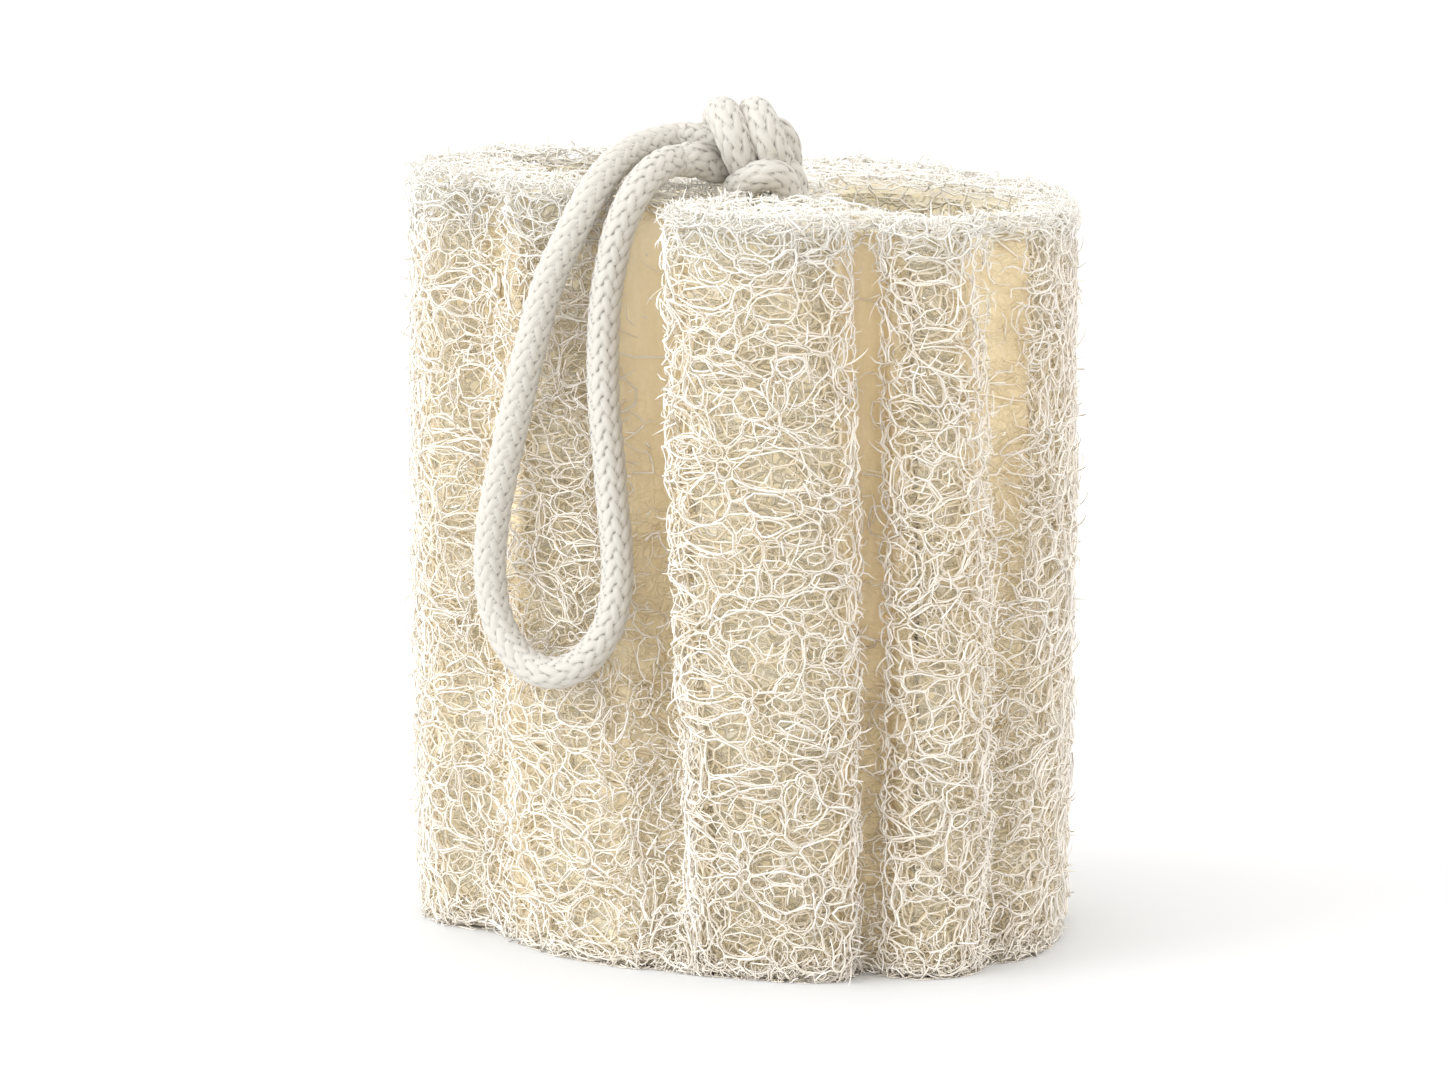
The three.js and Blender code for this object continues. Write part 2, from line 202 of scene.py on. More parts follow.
def newMaterial(name, inputs):
    material = bpy.data.materials.new(name)
    material.use_nodes = True
    for key, value in inputs.items():
        material.node_tree.nodes["Principled BSDF"].inputs[key].default_value = value
    return material, material.node_tree


# A fine grain that every material here carries: one noise, given out as a shade from low to high to
# multiply the colour by, and as a height for the bump
def makeGrain():
    group = bpy.data.node_groups.new("fine_grain", "ShaderNodeTree")
    for way, sockets in (("INPUT", ("Vector", "Scale", "Low", "High")), ("OUTPUT", ("Shade", "Height"))):
        for name in sockets:
            kind = "NodeSocketVector" if name == "Vector" else "NodeSocketFloat"
            group.interface.new_socket(name, in_out=way, socket_type=kind)
    given, out = group.nodes.new("NodeGroupInput").outputs, group.nodes.new("NodeGroupOutput").inputs
    texture = addNode(group, "TexNoise", {"Vector": given["Vector"], "Scale": given["Scale"], "Detail": 3})
    noise = texture.outputs["Fac"]
    group.links.new(addRange(group, noise, 0, 1, given["Low"], given["High"]), out["Shade"])
    group.links.new(noise, out["Height"])
    return group


# The grain placed in a material: it shades the colour and sets the shader's normal, over a coarser
# normal where one is given
def addGrain(tree, vector, color, s, normal=None):
    inputs = {"Vector": vector, "Scale": s["scale"], "Low": s["low"], "High": s["high"]}
    grain = addNode(tree, "Group", inputs, node_tree=fineGrain)
    relief = {"Height": grain.outputs["Height"], "Strength": s["strength"], "Distance": s["depth"]}
    if normal is not None:
        relief["Normal"] = normal
    shader = tree.nodes["Principled BSDF"].inputs
    tree.links.new(addMix(tree, 1, color, grain.outputs["Shade"], "MULTIPLY"), shader["Base Color"])
    tree.links.new(addNode(tree, "Bump", relief).outputs["Normal"], shader["Normal"])


fineGrain = makeGrain()

cordLook = {
    "shader": {"Roughness": 0.85, "Sheen Weight": 0.15, "Sheen Roughness": 0.5},
    # painted shade: the cord darkens down between the bumps, by the plait's height
    "shade": ((0, (0.25, 0.23, 0.20)), (0.3, (0.49, 0.455, 0.395)), (0.62, (0.61, 0.575, 0.515))),
    "paintedSideShadow": (0.42, 0.86, 1, 0.40),  # painted shadow on one side of each bump: from and to where it darkens, and how much
    "yarn": (7, 700, 1),  # how fine across a bump and along it
    "grain": {"scale": 1, "low": 0.88, "high": 1.06, "strength": 0.5, "depth": 0.0002},
}


# Spun cotton: off-white, with painted shade that greys it down between the bumps and a painted
# shadow along one side of each, and fine yarns that run along the bumps
def cottonCord(s):
    material, tree = newMaterial("cotton_cord", s["shader"])
    bump, across, along = (addAttribute(tree, name) for name in ("bump", "across", "along"))
    shade, paintedSideShadow = addRamp(tree, bump, s["shade"]), addRange(tree, across, *s["paintedSideShadow"])
    place = addNode(tree, "CombineXYZ", {"X": across, "Y": along}).outputs["Vector"]
    yarn = addNode(tree, "Mapping", {"Vector": place, "Scale": s["yarn"]}).outputs["Vector"]
    addGrain(tree, yarn, addMix(tree, 1, shade, paintedSideShadow, "MULTIPLY"), s["grain"])
    return material


# Frames along a path: each side vector is the last one turned as little as the path allows
def sideVectors(path):
    tangent = unit(np.gradient(path, axis=0))
    side = np.zeros_like(path)
    side[0] = unit(np.cross(tangent[0], (0.3, 0.9, 0.2)))
    for i in range(1, len(path)):
        side[i] = unit(side[i - 1] - tangent[i] * (side[i - 1] @ tangent[i]))
    return tangent, side


cord = {
    "diameter": 0.006,
    "swell": 1.015,  # the bumps stand a little proud
    "columns": 10,  # plait bumps round the cord
    "pitch": 0.0031,  # from bump to bump along it
    "bump": (0.00103, 0.00200),  # half its width and half its length
    "slant": 0.46,  # radians off the cord's line, one way and the other in turn
    "dome": 2.4,  # how square the bumps are
    "lowest": 0.06,  # the height between them
    "relief": 0.00050,  # depth between bumps
    "tuckRun": 0.0016,  # over which a hidden start is drawn in
    "sides": 54,
    "step": 0.00037,
}


# Plait bumps stand in columns round the cord, and each column's slant the other way from its
# neighbours' and sit half a pitch on. A bump is the root of 1 - |across|^dome - |along|^dome in its own
# slanted directions, and the highest bump at a place is the one that shows.
def plait(turn, along, s):
    width = math.pi * s["diameter"] / s["columns"]
    column = np.floor(turn * s["columns"])
    high, side = np.full(turn.shape, -1.0), np.zeros(turn.shape)
    for step in (-1, 0, 1):
        c = column + step
        across = (turn * s["columns"] - c - 0.5) * width
        offset = 0.5 * (c % 2)
        lean = np.where(c % 2 == 0, 1, -1) * s["slant"]
        nearest = np.round(along / s["pitch"] - offset)
        for k in (-1, 0, 1):
            run = along - (nearest + k + offset) * s["pitch"]
            p = (across * np.cos(lean) - run * np.sin(lean)) / s["bump"][0]
            q = (across * np.sin(lean) + run * np.cos(lean)) / s["bump"][1]
            dome = 1 - np.abs(p) ** s["dome"] - np.abs(q) ** s["dome"]
            side = np.where(dome > high, p, side)
            high = np.maximum(high, dome)
    return np.sqrt(np.clip(high, s["lowest"], 1)), side


# A tube carried along a path. Its radius is half the cord's diameter, less the relief times one minus
# the plait's height, and it goes round by cosine along the side vector and sine along the other.
def braidedTube(name, node, corners, material, s, tuck=0):
    path, length = evenCurve(corners, s["step"])
    tangent, side = sideVectors(path)
    up = np.cross(tangent, side)
    around = s["sides"]
    turn, run = np.meshgrid(np.arange(around) / around, np.linspace(0, length, len(path)))
    bump, across = plait(turn, run, s)
    # where a strand starts inside another it is drawn in, so that only one of them shows
    drawn = np.clip(1 - run / s["tuckRun"], 0, 1) * tuck
    radius = s["diameter"] / 2 * s["swell"] - s["relief"] * (1 - bump) - drawn
    angle = 2 * math.pi * turn[..., None]
    ring = path[:, None] + radius[..., None] * (np.cos(angle) * side[:, None] + np.sin(angle) * up[:, None])
    # each end is closed with a fan to the path's own end
    fan, last, middle = np.arange(around), (len(path) - 1) * around, len(path) * around
    ahead = (fan + 1) % around
    fans = [np.stack([ahead, fan, 0 * fan + middle], axis=-1),
            np.stack([last + fan, last + ahead, 0 * fan + middle + 1], axis=-1)]
    values = {"bump": np.append(bump.ravel(), [1, 1]), "across": np.append(across.ravel(), [0, 0]),
              "along": np.append(run.ravel(), [0, length])}
    piece = makePiece(name, node, material, np.vstack([ring.reshape(-1, 3), path[0], path[-1]]),
                      np.vstack([halved(bandFaces(len(path), around)), *fans]), values)
    return piece, path, length


# The free cord's corners, from the knot round the loop and back to it
loopRoute = [
    (-0.0100, -0.0056, 0.1478), (-0.0120, -0.0056, 0.1478), (-0.0149, -0.0075, 0.1474),
    (-0.0185, -0.0105, 0.1466), (-0.0220, -0.0146, 0.1450), (-0.0254, -0.0195, 0.1418),
    (-0.0286, -0.0230, 0.1369), (-0.0318, -0.0246, 0.1306), (-0.0347, -0.0255, 0.1245),
    (-0.0382, -0.0264, 0.1124), (-0.0413, -0.0265, 0.0990), (-0.0436, -0.0265, 0.0888),
    (-0.0452, -0.0266, 0.0803), (-0.0459, -0.0272, 0.0719), (-0.0450, -0.0286, 0.0638),
    (-0.0424, -0.0309, 0.0578), (-0.0387, -0.0334, 0.0542), (-0.0344, -0.0358, 0.0532),
    (-0.0302, -0.0370, 0.0545), (-0.0266, -0.0375, 0.0579), (-0.0238, -0.0374, 0.0629),
    (-0.0226, -0.0368, 0.0692), (-0.0226, -0.0356, 0.0764), (-0.0233, -0.0343, 0.0835),
    (-0.0241, -0.0326, 0.0930), (-0.0249, -0.0308, 0.1020), (-0.0251, -0.0290, 0.1120),
    (-0.0246, -0.0276, 0.1209), (-0.0236, -0.0267, 0.1270), (-0.0221, -0.0258, 0.1333),
    (-0.0198, -0.0242, 0.1386), (-0.0170, -0.0208, 0.1424), (-0.0140, -0.0162, 0.1442),
    (-0.0119, -0.0132, 0.1445), (-0.0100, -0.0120, 0.1445),
]

knotShape = {
    "centre": (0.0016, -0.0082, 0.1476),
    "high": 0.0050,  # the winding's half height
    "deep": 0.0055,  # and half depth
    "pitch": 0.0061,  # from turn to turn
    "start": -0.0040,
    "lean": 0.0010,  # tops to the left, bottoms to the right
    "turns": (-0.46, 1.36),
    "wrap": 0.0067,  # the cord is pressed wide where it winds
    "frontTail": (0.0092, -0.0120),
    "backTail": (0.0082, -0.0054),
    "seat": 0.1423,
    "tailEnd": 0.1250,
    "tuck": 0.0005,  # how far a hidden start is drawn in
}


# The winding is a helix: x goes on by one pitch a turn and leans by the cosine, y goes by the sine and
# z by the cosine of the turn
def windingRoute(s):
    first, last = s["turns"]
    turns = np.linspace(first, last, int(math.ceil((last - first) * 10)) + 1)
    x, y, z = s["centre"]
    angle = 2 * math.pi * turns
    return np.stack([x + s["start"] + s["pitch"] * turns - s["lean"] * np.cos(angle), y - s["deep"] * np.sin(angle),
                     z + s["high"] * np.cos(angle)], axis=-1)


# The knot's strands: its core, the turns round the core, and the short strand in front
def knotRoutes(s):
    x, y, z = s["centre"]
    (fx, fy), (bx, by), seat, end = s["frontTail"], s["backTail"], s["seat"], s["tailEnd"]
    core = [(-0.0116, -0.0056, 0.1478), (-0.0080, -0.0056, 0.1478), (x - 0.005, y + 0.0016, z),
            (x + 0.002, y + 0.001, z + 0.0006), (bx - 0.0016, by - 0.0004, z + 0.0013),
            (bx - 0.0001, by, z - 0.0012), (bx + 0.0001, by, seat - 0.0005), (bx, by, seat - 0.008), (bx, by, end)]
    winding = [(-0.0114, -0.0129, 0.1445), (-0.0097, -0.01181, 0.1445), (-0.0081, -0.0108, 0.1445),
               *windingRoute(s), (fx - 0.003, fy - 0.0006, seat + 0.0008), (fx - 0.0006, fy, seat - 0.0012),
               (fx, fy, seat - 0.006), (fx, fy, end)]
    tail = [(-0.0012, -0.0100, 0.1385), (0.0006, -0.0138, 0.1402), (0.0028, -0.0160, 0.1418),
            (0.0055, -0.0162, 0.1423), (0.0076, -0.0150, 0.1410), (0.0086, -0.0138, 0.1380),
            (0.0087, -0.0130, 0.1340)]
    wound = {**cord, "diameter": s["wrap"]}
    return {"knot_core": (core, cord), "knot_winding": (winding, wound), "knot_tail": (tail, cord)}


cordMaterial = cottonCord(cordLook)
loop, loopPath, loopLength = braidedTube("hanging_loop", "cord_loop", loopRoute, cordMaterial, cord)
knots = [braidedTube(name, "cord_knot", route, cordMaterial, s, knotShape["tuck"])[0]
         for name, (route, s) in knotRoutes(knotShape).items()]
print("cord made,", round(loopLength * 1000), "mm")


sponge = {
    "height": 0.139,  # at the middle of its slanting top cut
    "slant": 0.05,  # height lost to the right
    "rim": 0.003,  # rounding of the two cut rims
    "levels": 33,
    "turnSamples": 1000,
    "channelSamples": 400,
}

# The fluted outline, counter-clockwise from the right: x and y at the base, half way up and at the top, in mm
stations = np.array([
    (60.4, 4, 61.6, 4, 61.4, 4), (58.4, 20, 60, 21, 60.2, 20), (50, 34, 51.5, 36, 52, 35),
    (43, 38.5, 43.5, 39.5, 44, 39), (34, 49, 35, 51, 35, 50), (20, 55, 21, 57.2, 21, 56),
    (10.5, 48.5, 10.5, 49.5, 11, 49), (-1, 55, -1, 57, 0, 56), (-17, 56, -17, 58.3, -16, 57),
    (-27, 49, -27.5, 50.5, -27, 50), (-37, 50, -38, 52, -37, 51), (-49, 41, -51, 42, -50, 42),
    (-51.5, 31, -53, 32, -52.5, 32), (-58.4, 22, -60.4, 23, -60.2, 22), (-60.4, 8, -61.4, 9, -61.2, 8),
    (-56, -4, -57.5, -5, -57, -6), (-46, -12, -47, -12, -47, -9), (-41, -23, -42, -21, -42, -15),
    (-32, -36, -31, -29, -31, -18), (-22, -44, -21, -31, -20, -17), (-16, -47, -10, -27.5, -5, -12.5),
    (-13, -48.5, -6.5, -30.5, -1.5, -15.5), (-10, -50.3, -8, -38, -6.5, -25), (-6, -52, -12.5, -50, -14, -46),
    (2, -55, -4, -56.5, -6, -54.5), (11, -57.8, 10, -58.8, 8, -57), (18.5, -57, 20, -54, 17.5, -50.5),
    (22.5, -49, 23, -42, 21.5, -42), (29, -54.5, 29.5, -51, 28, -49.5), (37, -54, 38, -51, 36.5, -49),
    (42.5, -49.5, 44, -45, 42, -42.5), (45.5, -42, 47, -35.5, 46, -35), (51, -38.5, 54, -33, 54, -32),
    (57.5, -24, 60, -20, 60, -19),
]) / 1000

# The right and left seed channel's sections, in mm
seedChannels = [np.array(corners) / 1000 for corners in (
    [(17, -10), (21, -23), (29, -33), (39, -35), (47, -25), (51, -9), (50, 5),
     (41, 17), (28, 23), (18, 17)],
    [(-15, 16), (-15.5, 32), (-25, 42), (-38, 38), (-43, 24), (-36, 11), (-23, 8)],
)]

# Where the wall is grown smooth, with a darker tan of painted shade (in the cleft a paler one of painted light):
# station, half width, and how much at the base, waist and top
grooves = [
    (19.8, 0.0125, (0.0, 0.64, 1.2)),  # the cleft
    (26.85, 0.0070, (0.4, 0.8, 1.0)),
    (30.80, 0.0078, (0.0, 0.42, 0.75)),
    (16.4, 0.0040, (0.3, 0.5, 0.4)),
    (3.0, 0.0034, (0.4, 0.5, 0.4)),
    (6.0, 0.0038, (0.5, 0.65, 0.5)),
    (9.0, 0.0036, (0.4, 0.6, 0.5)),
    (12.0, 0.0034, (0.35, 0.5, 0.4)),
]


# The weights of three places at a share of the height: a parabola through base, waist and top
def parabola(share):
    return (1 - share) * (1 - 2 * share), 4 * share * (1 - share), share * (2 * share - 1)


# The wall as a table of outlines, one for each level, read at even steps round the waist
def readStations(s):
    corners = stations.reshape(-1, 3, 2)
    even, t, run = evenTurn(corners[:, 1], s["turnSamples"], 200)
    rings = []
    for share in np.linspace(0, 1, s["levels"]):
        places = sum(w * corners[:, k] for k, w in enumerate(parabola(share)))
        rings.append(smoothCurve(places, even, closed=True))
    rimArc = math.pi / 2 * s["rim"]
    return SimpleNamespace(girth=run[-1], stationRun=np.interp(np.arange(len(corners) + 1), t, run),
                           rings=np.array(rings), outward=outwardOf(np.array(rings)), rimArc=rimArc,
                           length=s["height"] - 2 * s["rim"] + 2 * rimArc)


# A table read between its rows and columns: each place is the mean of its four neighbours, weighted by
# how near they are; columns close on themselves
def readTable(table, share, turn):
    level = np.clip(share, 0, 1) * (table.shape[0] - 1)
    i = np.clip(np.floor(level).astype(int), 0, table.shape[0] - 2)
    spot = np.mod(turn, 1) * table.shape[1]
    j = np.floor(spot).astype(int) % table.shape[1]
    k = (j + 1) % table.shape[1]
    f, g = (level - i)[..., None], (spot - np.floor(spot))[..., None]
    return ((1 - f) * ((1 - g) * table[i, j] + g * table[i, k])
            + f * ((1 - g) * table[i + 1, j] + g * table[i + 1, k]))


# The top cut: a plane that falls to the right
def topHeight(x):
    return sponge["height"] - sponge["slant"] * x


# A point of the wall and its normal: u runs round the waist, v up the wall over both rounded rims. It is
# the outline at its height, drawn in at a rim by the rim's size times one minus the sine of its bend,
# less the depth along the normal.
def onWall(u, v, depth):
    s = sponge
    bend = np.clip(np.minimum(v, wall.length - v) / wall.rimArc, 0, 1)
    angle = bend * math.pi / 2
    low = v < wall.length / 2
    fromEnd = s["rim"] * (1 - np.cos(angle))
    level = np.where(bend >= 1, s["rim"] + v - wall.rimArc, np.where(low, fromEnd, s["height"] - fromEnd))
    share, turn = level / s["height"], u / wall.girth
    outward = unit(readTable(wall.outward, share, turn))
    place = readTable(wall.rings, share, turn) - outward * (s["rim"] * (1 - np.sin(angle)))[..., None]
    z = level * topHeight(place[..., 0]) / s["height"]
    normal = np.concatenate([outward * np.sin(angle)[..., None],
                             (np.cos(angle) * np.where(low, -1, 1))[..., None]], axis=-1)
    return np.concatenate([place, z[..., None]], axis=-1) - normal * depth[..., None], normal


# A point of the wall's foot, straight down from where the rounding of the bottom rim begins
def onFoot(u, z, depth):
    points, normals = onWall(u, wall.rimArc + 0 * z, depth)
    points[..., 2] = z
    return points, normals


# Waves by which the nets slide round the wall and up it: size, how many round, how fast up, and start
slides = {
    "round": ((0.0010, 29, 170, 1), (0.0011, 17, -260, 2)),
    "up": ((0.0006, 23, 330, 0), (0.0007, 11, -420, 4)),
    "fade": 0.006,
}


# Where the nets lie on the wall. Their cells come out larger in some places and smaller in others:
# places slide by sine waves, whose number round the sponge is whole so that they close on themselves.
def onSlidWall(u, v, depth):
    turn = 2 * math.pi * u / wall.girth
    du, dv = (sum(size * np.sin(count * turn + rise * v + start) for size, count, rise, start in slides[way])
              for way in ("round", "up"))
    return onWall(u + du, v + np.clip(np.minimum(v, wall.length - v) / slides["fade"], 0, 1) * dv, depth)


# A channel's section, counter-clockwise at even steps: its points, outward directions and length
def readChannel(corners):
    even, _, run = evenTurn(corners, sponge["channelSamples"], 60)
    ring = smoothCurve(corners, even, closed=True)
    return ring, outwardOf(ring), run[-1]


# A point of a channel's wall: the section's point at u, plus the depth along its outward direction, at
# height v scaled to the slanting top; the normal faces the channel
def onChannel(channel, u, v, depth):
    ring, outward, around = channel
    place, away = (readTable(table[None].repeat(2, axis=0), 0 * u, u / around) for table in (ring, outward))
    away = unit(away)
    spot = place + away * depth[..., None]
    z = v / sponge["height"] * topHeight(spot[..., 0])
    normal = np.concatenate([-away, 0 * away[..., :1]], axis=-1)
    return np.concatenate([spot, z[..., None]], axis=-1), normal


# A point of a cut end: x and y as given, and z the cut's height less the depth, or the depth at the foot
def onEnd(top):
    def place(x, y, depth):
        z = topHeight(x) - depth if top else np.maximum(depth, 0.0003)
        normal = np.zeros((*np.shape(x), 3))
        normal[..., 2] = 1 if top else -1
        return np.stack([x, y, z], axis=-1), normal
    return place


# How far round the waist a station is
def stationAt(station):
    return np.interp(station, np.arange(len(wall.stationRun)), wall.stationRun)


# How steeply a groove ends, how many half widths out, and over how much of the wall it dies out at the top
grooveEdge = (2.2, 1.15, 0.010)


# How much of a groove a place of the wall is in: 1 along its middle, then falling in a straight line to
# 0 just beyond its half width, times its amount at that height. The margin widens all of them.
def grooveAt(u, v, margin=0.0, chosen=grooves):
    steep, reach, rimFade = grooveEdge
    weights = parabola(np.clip(v / wall.length, 0, 1))
    fade = np.clip((wall.length - v) / rimFade, 0, 1)
    most = np.zeros(np.shape(u))
    for station, halfWidth, amounts in chosen:
        away = np.abs(np.mod(u - stationAt(station) + wall.girth / 2, wall.girth) - wall.girth / 2)
        amount = np.clip(sum(weight * part for weight, part in zip(weights, amounts)), 0, 1)
        most = np.maximum(most, amount * fade * np.clip(steep * (reach - (away - margin) / halfWidth), 0, 1))
    return most


# Which points lie inside a loop: a line drawn to one side crosses it an odd number of times
def insideLoop(points, loopPoints):
    a, b = loopPoints, np.roll(loopPoints, -1, axis=0)
    x, y = points[:, None, 0], points[:, None, 1]
    rise = np.where(b[:, 1] == a[:, 1], 1e-12, b[:, 1] - a[:, 1])
    crosses = (a[:, 1] > y) != (b[:, 1] > y)
    return (crosses & (x < (b[:, 0] - a[:, 0]) * (y - a[:, 1]) / rise + a[:, 0])).sum(axis=1) % 2 == 1


# Which points lie inside the first loop and outside the others
def between(points, loops):
    inside = insideLoop(points, loops[0])
    for hole in loops[1:]:
        inside &= ~insideLoop(points, hole)
    return inside


wall = readStations(sponge)
channels = [readChannel(corners) for corners in seedChannels]
print("wall read,", round(wall.girth * 1000), "mm round")


# An irregular net over a flat patch. Seeds stand in jittered rows, some left out, and three neighbours
# make a triangle. The net has a node in the middle of each triangle and a link across each shared side.
# With wrap the patch is a band that closes on itself in u.
def layNet(width, height, s, seed, wrap=True):
    random = np.random.default_rng(seed)
    columns, rows = max(4, round(width / s["cell"][0])), max(3, round(height / s["cell"][1]))
    du, dv = width / columns, height / rows
    i, j = (part.ravel() for part in np.meshgrid(np.arange(columns), np.arange(-2, rows + 2)))
    u = (i + 0.5 * (j % 2) + s["jitter"] * random.uniform(-1, 1, i.size)) * du
    v = (j + 0.5 + s["jitter"] * random.uniform(-1, 1, i.size)) * dv
    kept = random.random(i.size) > s["leftOut"]
    u, v = np.mod(u[kept], width) if wrap else u[kept], v[kept]
    if wrap:
        before, after = u > width - 8 * du, u < 8 * du
        u, v = np.concatenate([u, u[before] - width, u[after] + width]), np.concatenate([v, v[before], v[after]])
    stretch = du / dv
    found = geometry.delaunay_2d_cdt([Vector((a, b)) for a, b in zip(u, v * stretch)], [], [], 0, 1e-9)
    seeds = np.array([(p.x, p.y / stretch) for p in found[0]])
    triangles = np.array([f for f in found[2] if len(f) == 3])
    nodes = seeds[triangles].mean(axis=1)
    sides = np.sort(np.concatenate([triangles[:, pair] for pair in ([0, 1], [1, 2], [2, 0])]), axis=1)
    owner = np.tile(np.arange(len(triangles)), 3)
    key = sides[:, 0] * len(seeds) + sides[:, 1]
    order = np.argsort(key, kind="stable")
    same = key[order][1:] == key[order][:-1]
    links = np.stack([owner[order][:-1][same], owner[order][1:][same]], axis=-1)
    middle = nodes[links].mean(axis=1)
    length = np.linalg.norm(nodes[links[:, 0]] - nodes[links[:, 1]], axis=1)
    good = (middle[:, 1] > 0) & (middle[:, 1] < height) & (length < 4 * max(du, dv))
    if wrap:
        good &= (middle[:, 0] >= 0) & (middle[:, 0] < width)
    return {"nodes": nodes, "links": links[good], "seeds": seeds, "triangles": triangles, "cell": max(du, dv)}


def wallNet(s, seed):
    return layNet(wall.girth, wall.length, s, seed)


# The cells of a net round the wall as closed rings through their own nodes, drawn in towards the middle
# and rounded. Rings with the same number of nodes are worked out together; each has eight points.
def netRings(net, s, seed, points=8):
    random = np.random.default_rng(seed)
    corner = net["triangles"].ravel()
    owner = np.repeat(np.arange(len(net["triangles"])), 3)
    away = net["nodes"][owner] - net["seeds"][corner]
    order = np.lexsort((np.arctan2(away[:, 1], away[:, 0]), corner))
    corner, owner = corner[order], owner[order]
    first = np.concatenate([[0], np.flatnonzero(np.diff(corner)) + 1])
    count = np.diff(np.append(first, len(corner)))
    rings = []
    for n in range(4, 10):
        cells = net["nodes"][owner[first[count == n][:, None] + np.arange(n)]]
        middle = cells.mean(axis=1)
        u, v = middle.T
        good = (v > 0) & (v < wall.length) & (random.random(len(u)) < s["share"]) & (u >= 0) & (u < wall.girth)
        good &= np.abs(cells - middle[:, None]).max(axis=(1, 2)) < 3 * net["cell"]
        cells, middle = cells[good], middle[good, None]
        cells = middle + (cells - middle) * random.uniform(*s["inset"], (len(cells), 1, 1))
        t = np.arange(points) / points * n
        i = np.floor(t).astype(int)
        p, q, r = (cells[:, (i + step) % n] for step in range(3))
        rings.append(rounded(p, q, r, (t - i)[None, :, None]))
    return np.concatenate(rings)


# Long strands that wander from node to node, each step to the neighbour that leads furthest along.
# All strands take each step together.
def netStrands(net, s, seed):
    random = np.random.default_rng(seed)
    nodes, count = net["nodes"], s["count"]
    both = np.concatenate([net["links"], net["links"][:, ::-1]])
    both = both[np.argsort(both[:, 0], kind="stable")]
    rank = np.arange(len(both)) - np.searchsorted(both[:, 0], both[:, 0])
    neighbours = np.full((len(nodes), 3), -1)
    neighbours[both[:, 0], rank] = both[:, 1]
    path = [random.choice(np.unique(net["links"]), count, replace=False)]
    way, drift = random.choice([-1, 1], count)[:, None], spread(random, -s["drift"], s["drift"], count)
    alive = np.ones(count, bool)
    for step in range(s["steps"] - 1):
        choices = neighbours[path[-1]]
        run = nodes[choices] - nodes[path[-1]][:, None]
        gain = run[..., 0] * way - np.abs(run[..., 1] - drift * np.abs(run[..., 0]))
        back = choices == (path[-2][:, None] if step else -2)
        gain = np.where((choices < 0) | back, -1.0, gain)
        alive &= gain.max(axis=1) > -0.5
        path.append(np.maximum(choices[np.arange(count), gain.argmax(axis=1)], 0))
    return nodes[np.stack(path, axis=1)[alive]]


# Three-sided tubes along many curves at once, round to the eye because they are shaded smooth: a curve's
# point plus the radius by cosine along the side and sine along the other, at three angles.
# curves is (how many, points, 3); the normals only steady the tubes' turn.
def tubes(curves, radii, normals, closed):
    n, k = curves.shape[:2]
    if closed:
        tangent = unit(np.roll(curves, -1, axis=1) - np.roll(curves, 1, axis=1))
    else:
        tangent = unit(np.gradient(curves, axis=1))
    side = unit(np.cross(tangent, normals))
    up = np.cross(side, tangent)
    angle = np.array([math.pi / 2, math.pi * 7 / 6, math.pi * 11 / 6])[None, None, :, None]
    points = curves[:, :, None] + radii[..., None, None] * (np.cos(angle) * side[:, :, None]
                                                            + np.sin(angle) * up[:, :, None])
    spans = np.arange(k if closed else k - 1)
    base = (np.arange(n) * 3 * k)[:, None, None]
    here, ahead = (base + (part % k * 3)[None, :, None] for part in (spans, spans + 1))
    a, b = np.arange(3), np.array([1, 2, 0])
    faces = np.stack([here + a, ahead + a, ahead + b, here + b], axis=-1)
    return points.reshape(-1, 3), faces.reshape(-1, 4)


fibre = {
    "darkest": 0.005,  # the depth from which a fibre is darkest, its colour partly painted shade
    "uneven": (0.7, 1.3),  # thinner and thicker ones
    "sag": 0.0004,
    "overFloor": 0.00005,
}


# Fibres are gathered in lists for one piece, and joined when it is made
def newBundle():
    return {"points": [], "faces": [], "depth": [], "tint": []}


def addFibres(gathered, curves, radii, normals, depth, random, closed=False, darkest=fibre["darkest"]):
    shape = curves.shape[:2]
    points, faces = tubes(curves, np.broadcast_to(radii, shape), normals, closed)
    gathered["faces"].append(faces + sum(map(len, gathered["points"])))
    gathered["points"].append(points)
    gathered["depth"].append(np.repeat(np.broadcast_to(np.clip(depth / darkest, 0, 1), shape).ravel(), 3))
    gathered["tint"].append(np.repeat(random.random(len(curves)), 3 * shape[1]))


def bundlePiece(name, gathered, material):
    points, faces, depth, tint = (np.concatenate(gathered[key]) for key in ("points", "faces", "depth", "tint"))
    points[:, 2] = np.maximum(points[:, 2], fibre["overFloor"])
    makePiece(name, "loofah_sponge", material, points, faces, {"depth": depth, "tint": tint})


# Fibres along places of the wall or another form
def layFibres(gathered, place, u, v, depth, radii, random, **more):
    points, normals = place(u, v, depth)
    addFibres(gathered, points, radii, normals, depth, random, **more)


# One random number for each fibre, as a column
def spread(random, low, high, count):
    return random.uniform(low, high, count)[:, None]


# Which fibres stay: they thin out where the wall is grown smooth
def stays(random, u, v, thin):
    return random.random(len(u)) > thin * grooveAt(u, v)


# The nets, outermost first. Cells are (round, up) in metres, depth is a range below the wall.
outerNet = {"cell": (0.0050, 0.0038), "jitter": 0.42, "leftOut": 0.15, "depth": (-0.0003, 0.0012),
            "radius": 0.00020, "sway": 0.30, "segments": 2, "thin": 1.1}
secondNet = {"cell": (0.0038, 0.0027), "jitter": 0.44, "leftOut": 0.14, "depth": (0.0005, 0.0022),
             "radius": 0.00015, "sway": 0, "segments": 1, "thin": 1.1}
thirdNet = {"cell": (0.0044, 0.0031), "jitter": 0.44, "leftOut": 0.08, "depth": (0.0018, 0.0038),
            "radius": 0.00023, "sway": 0, "segments": 1, "thin": 1.0}
smallNet = {"cell": (0.0041, 0.0029), "jitter": 0.44, "leftOut": 0.16}


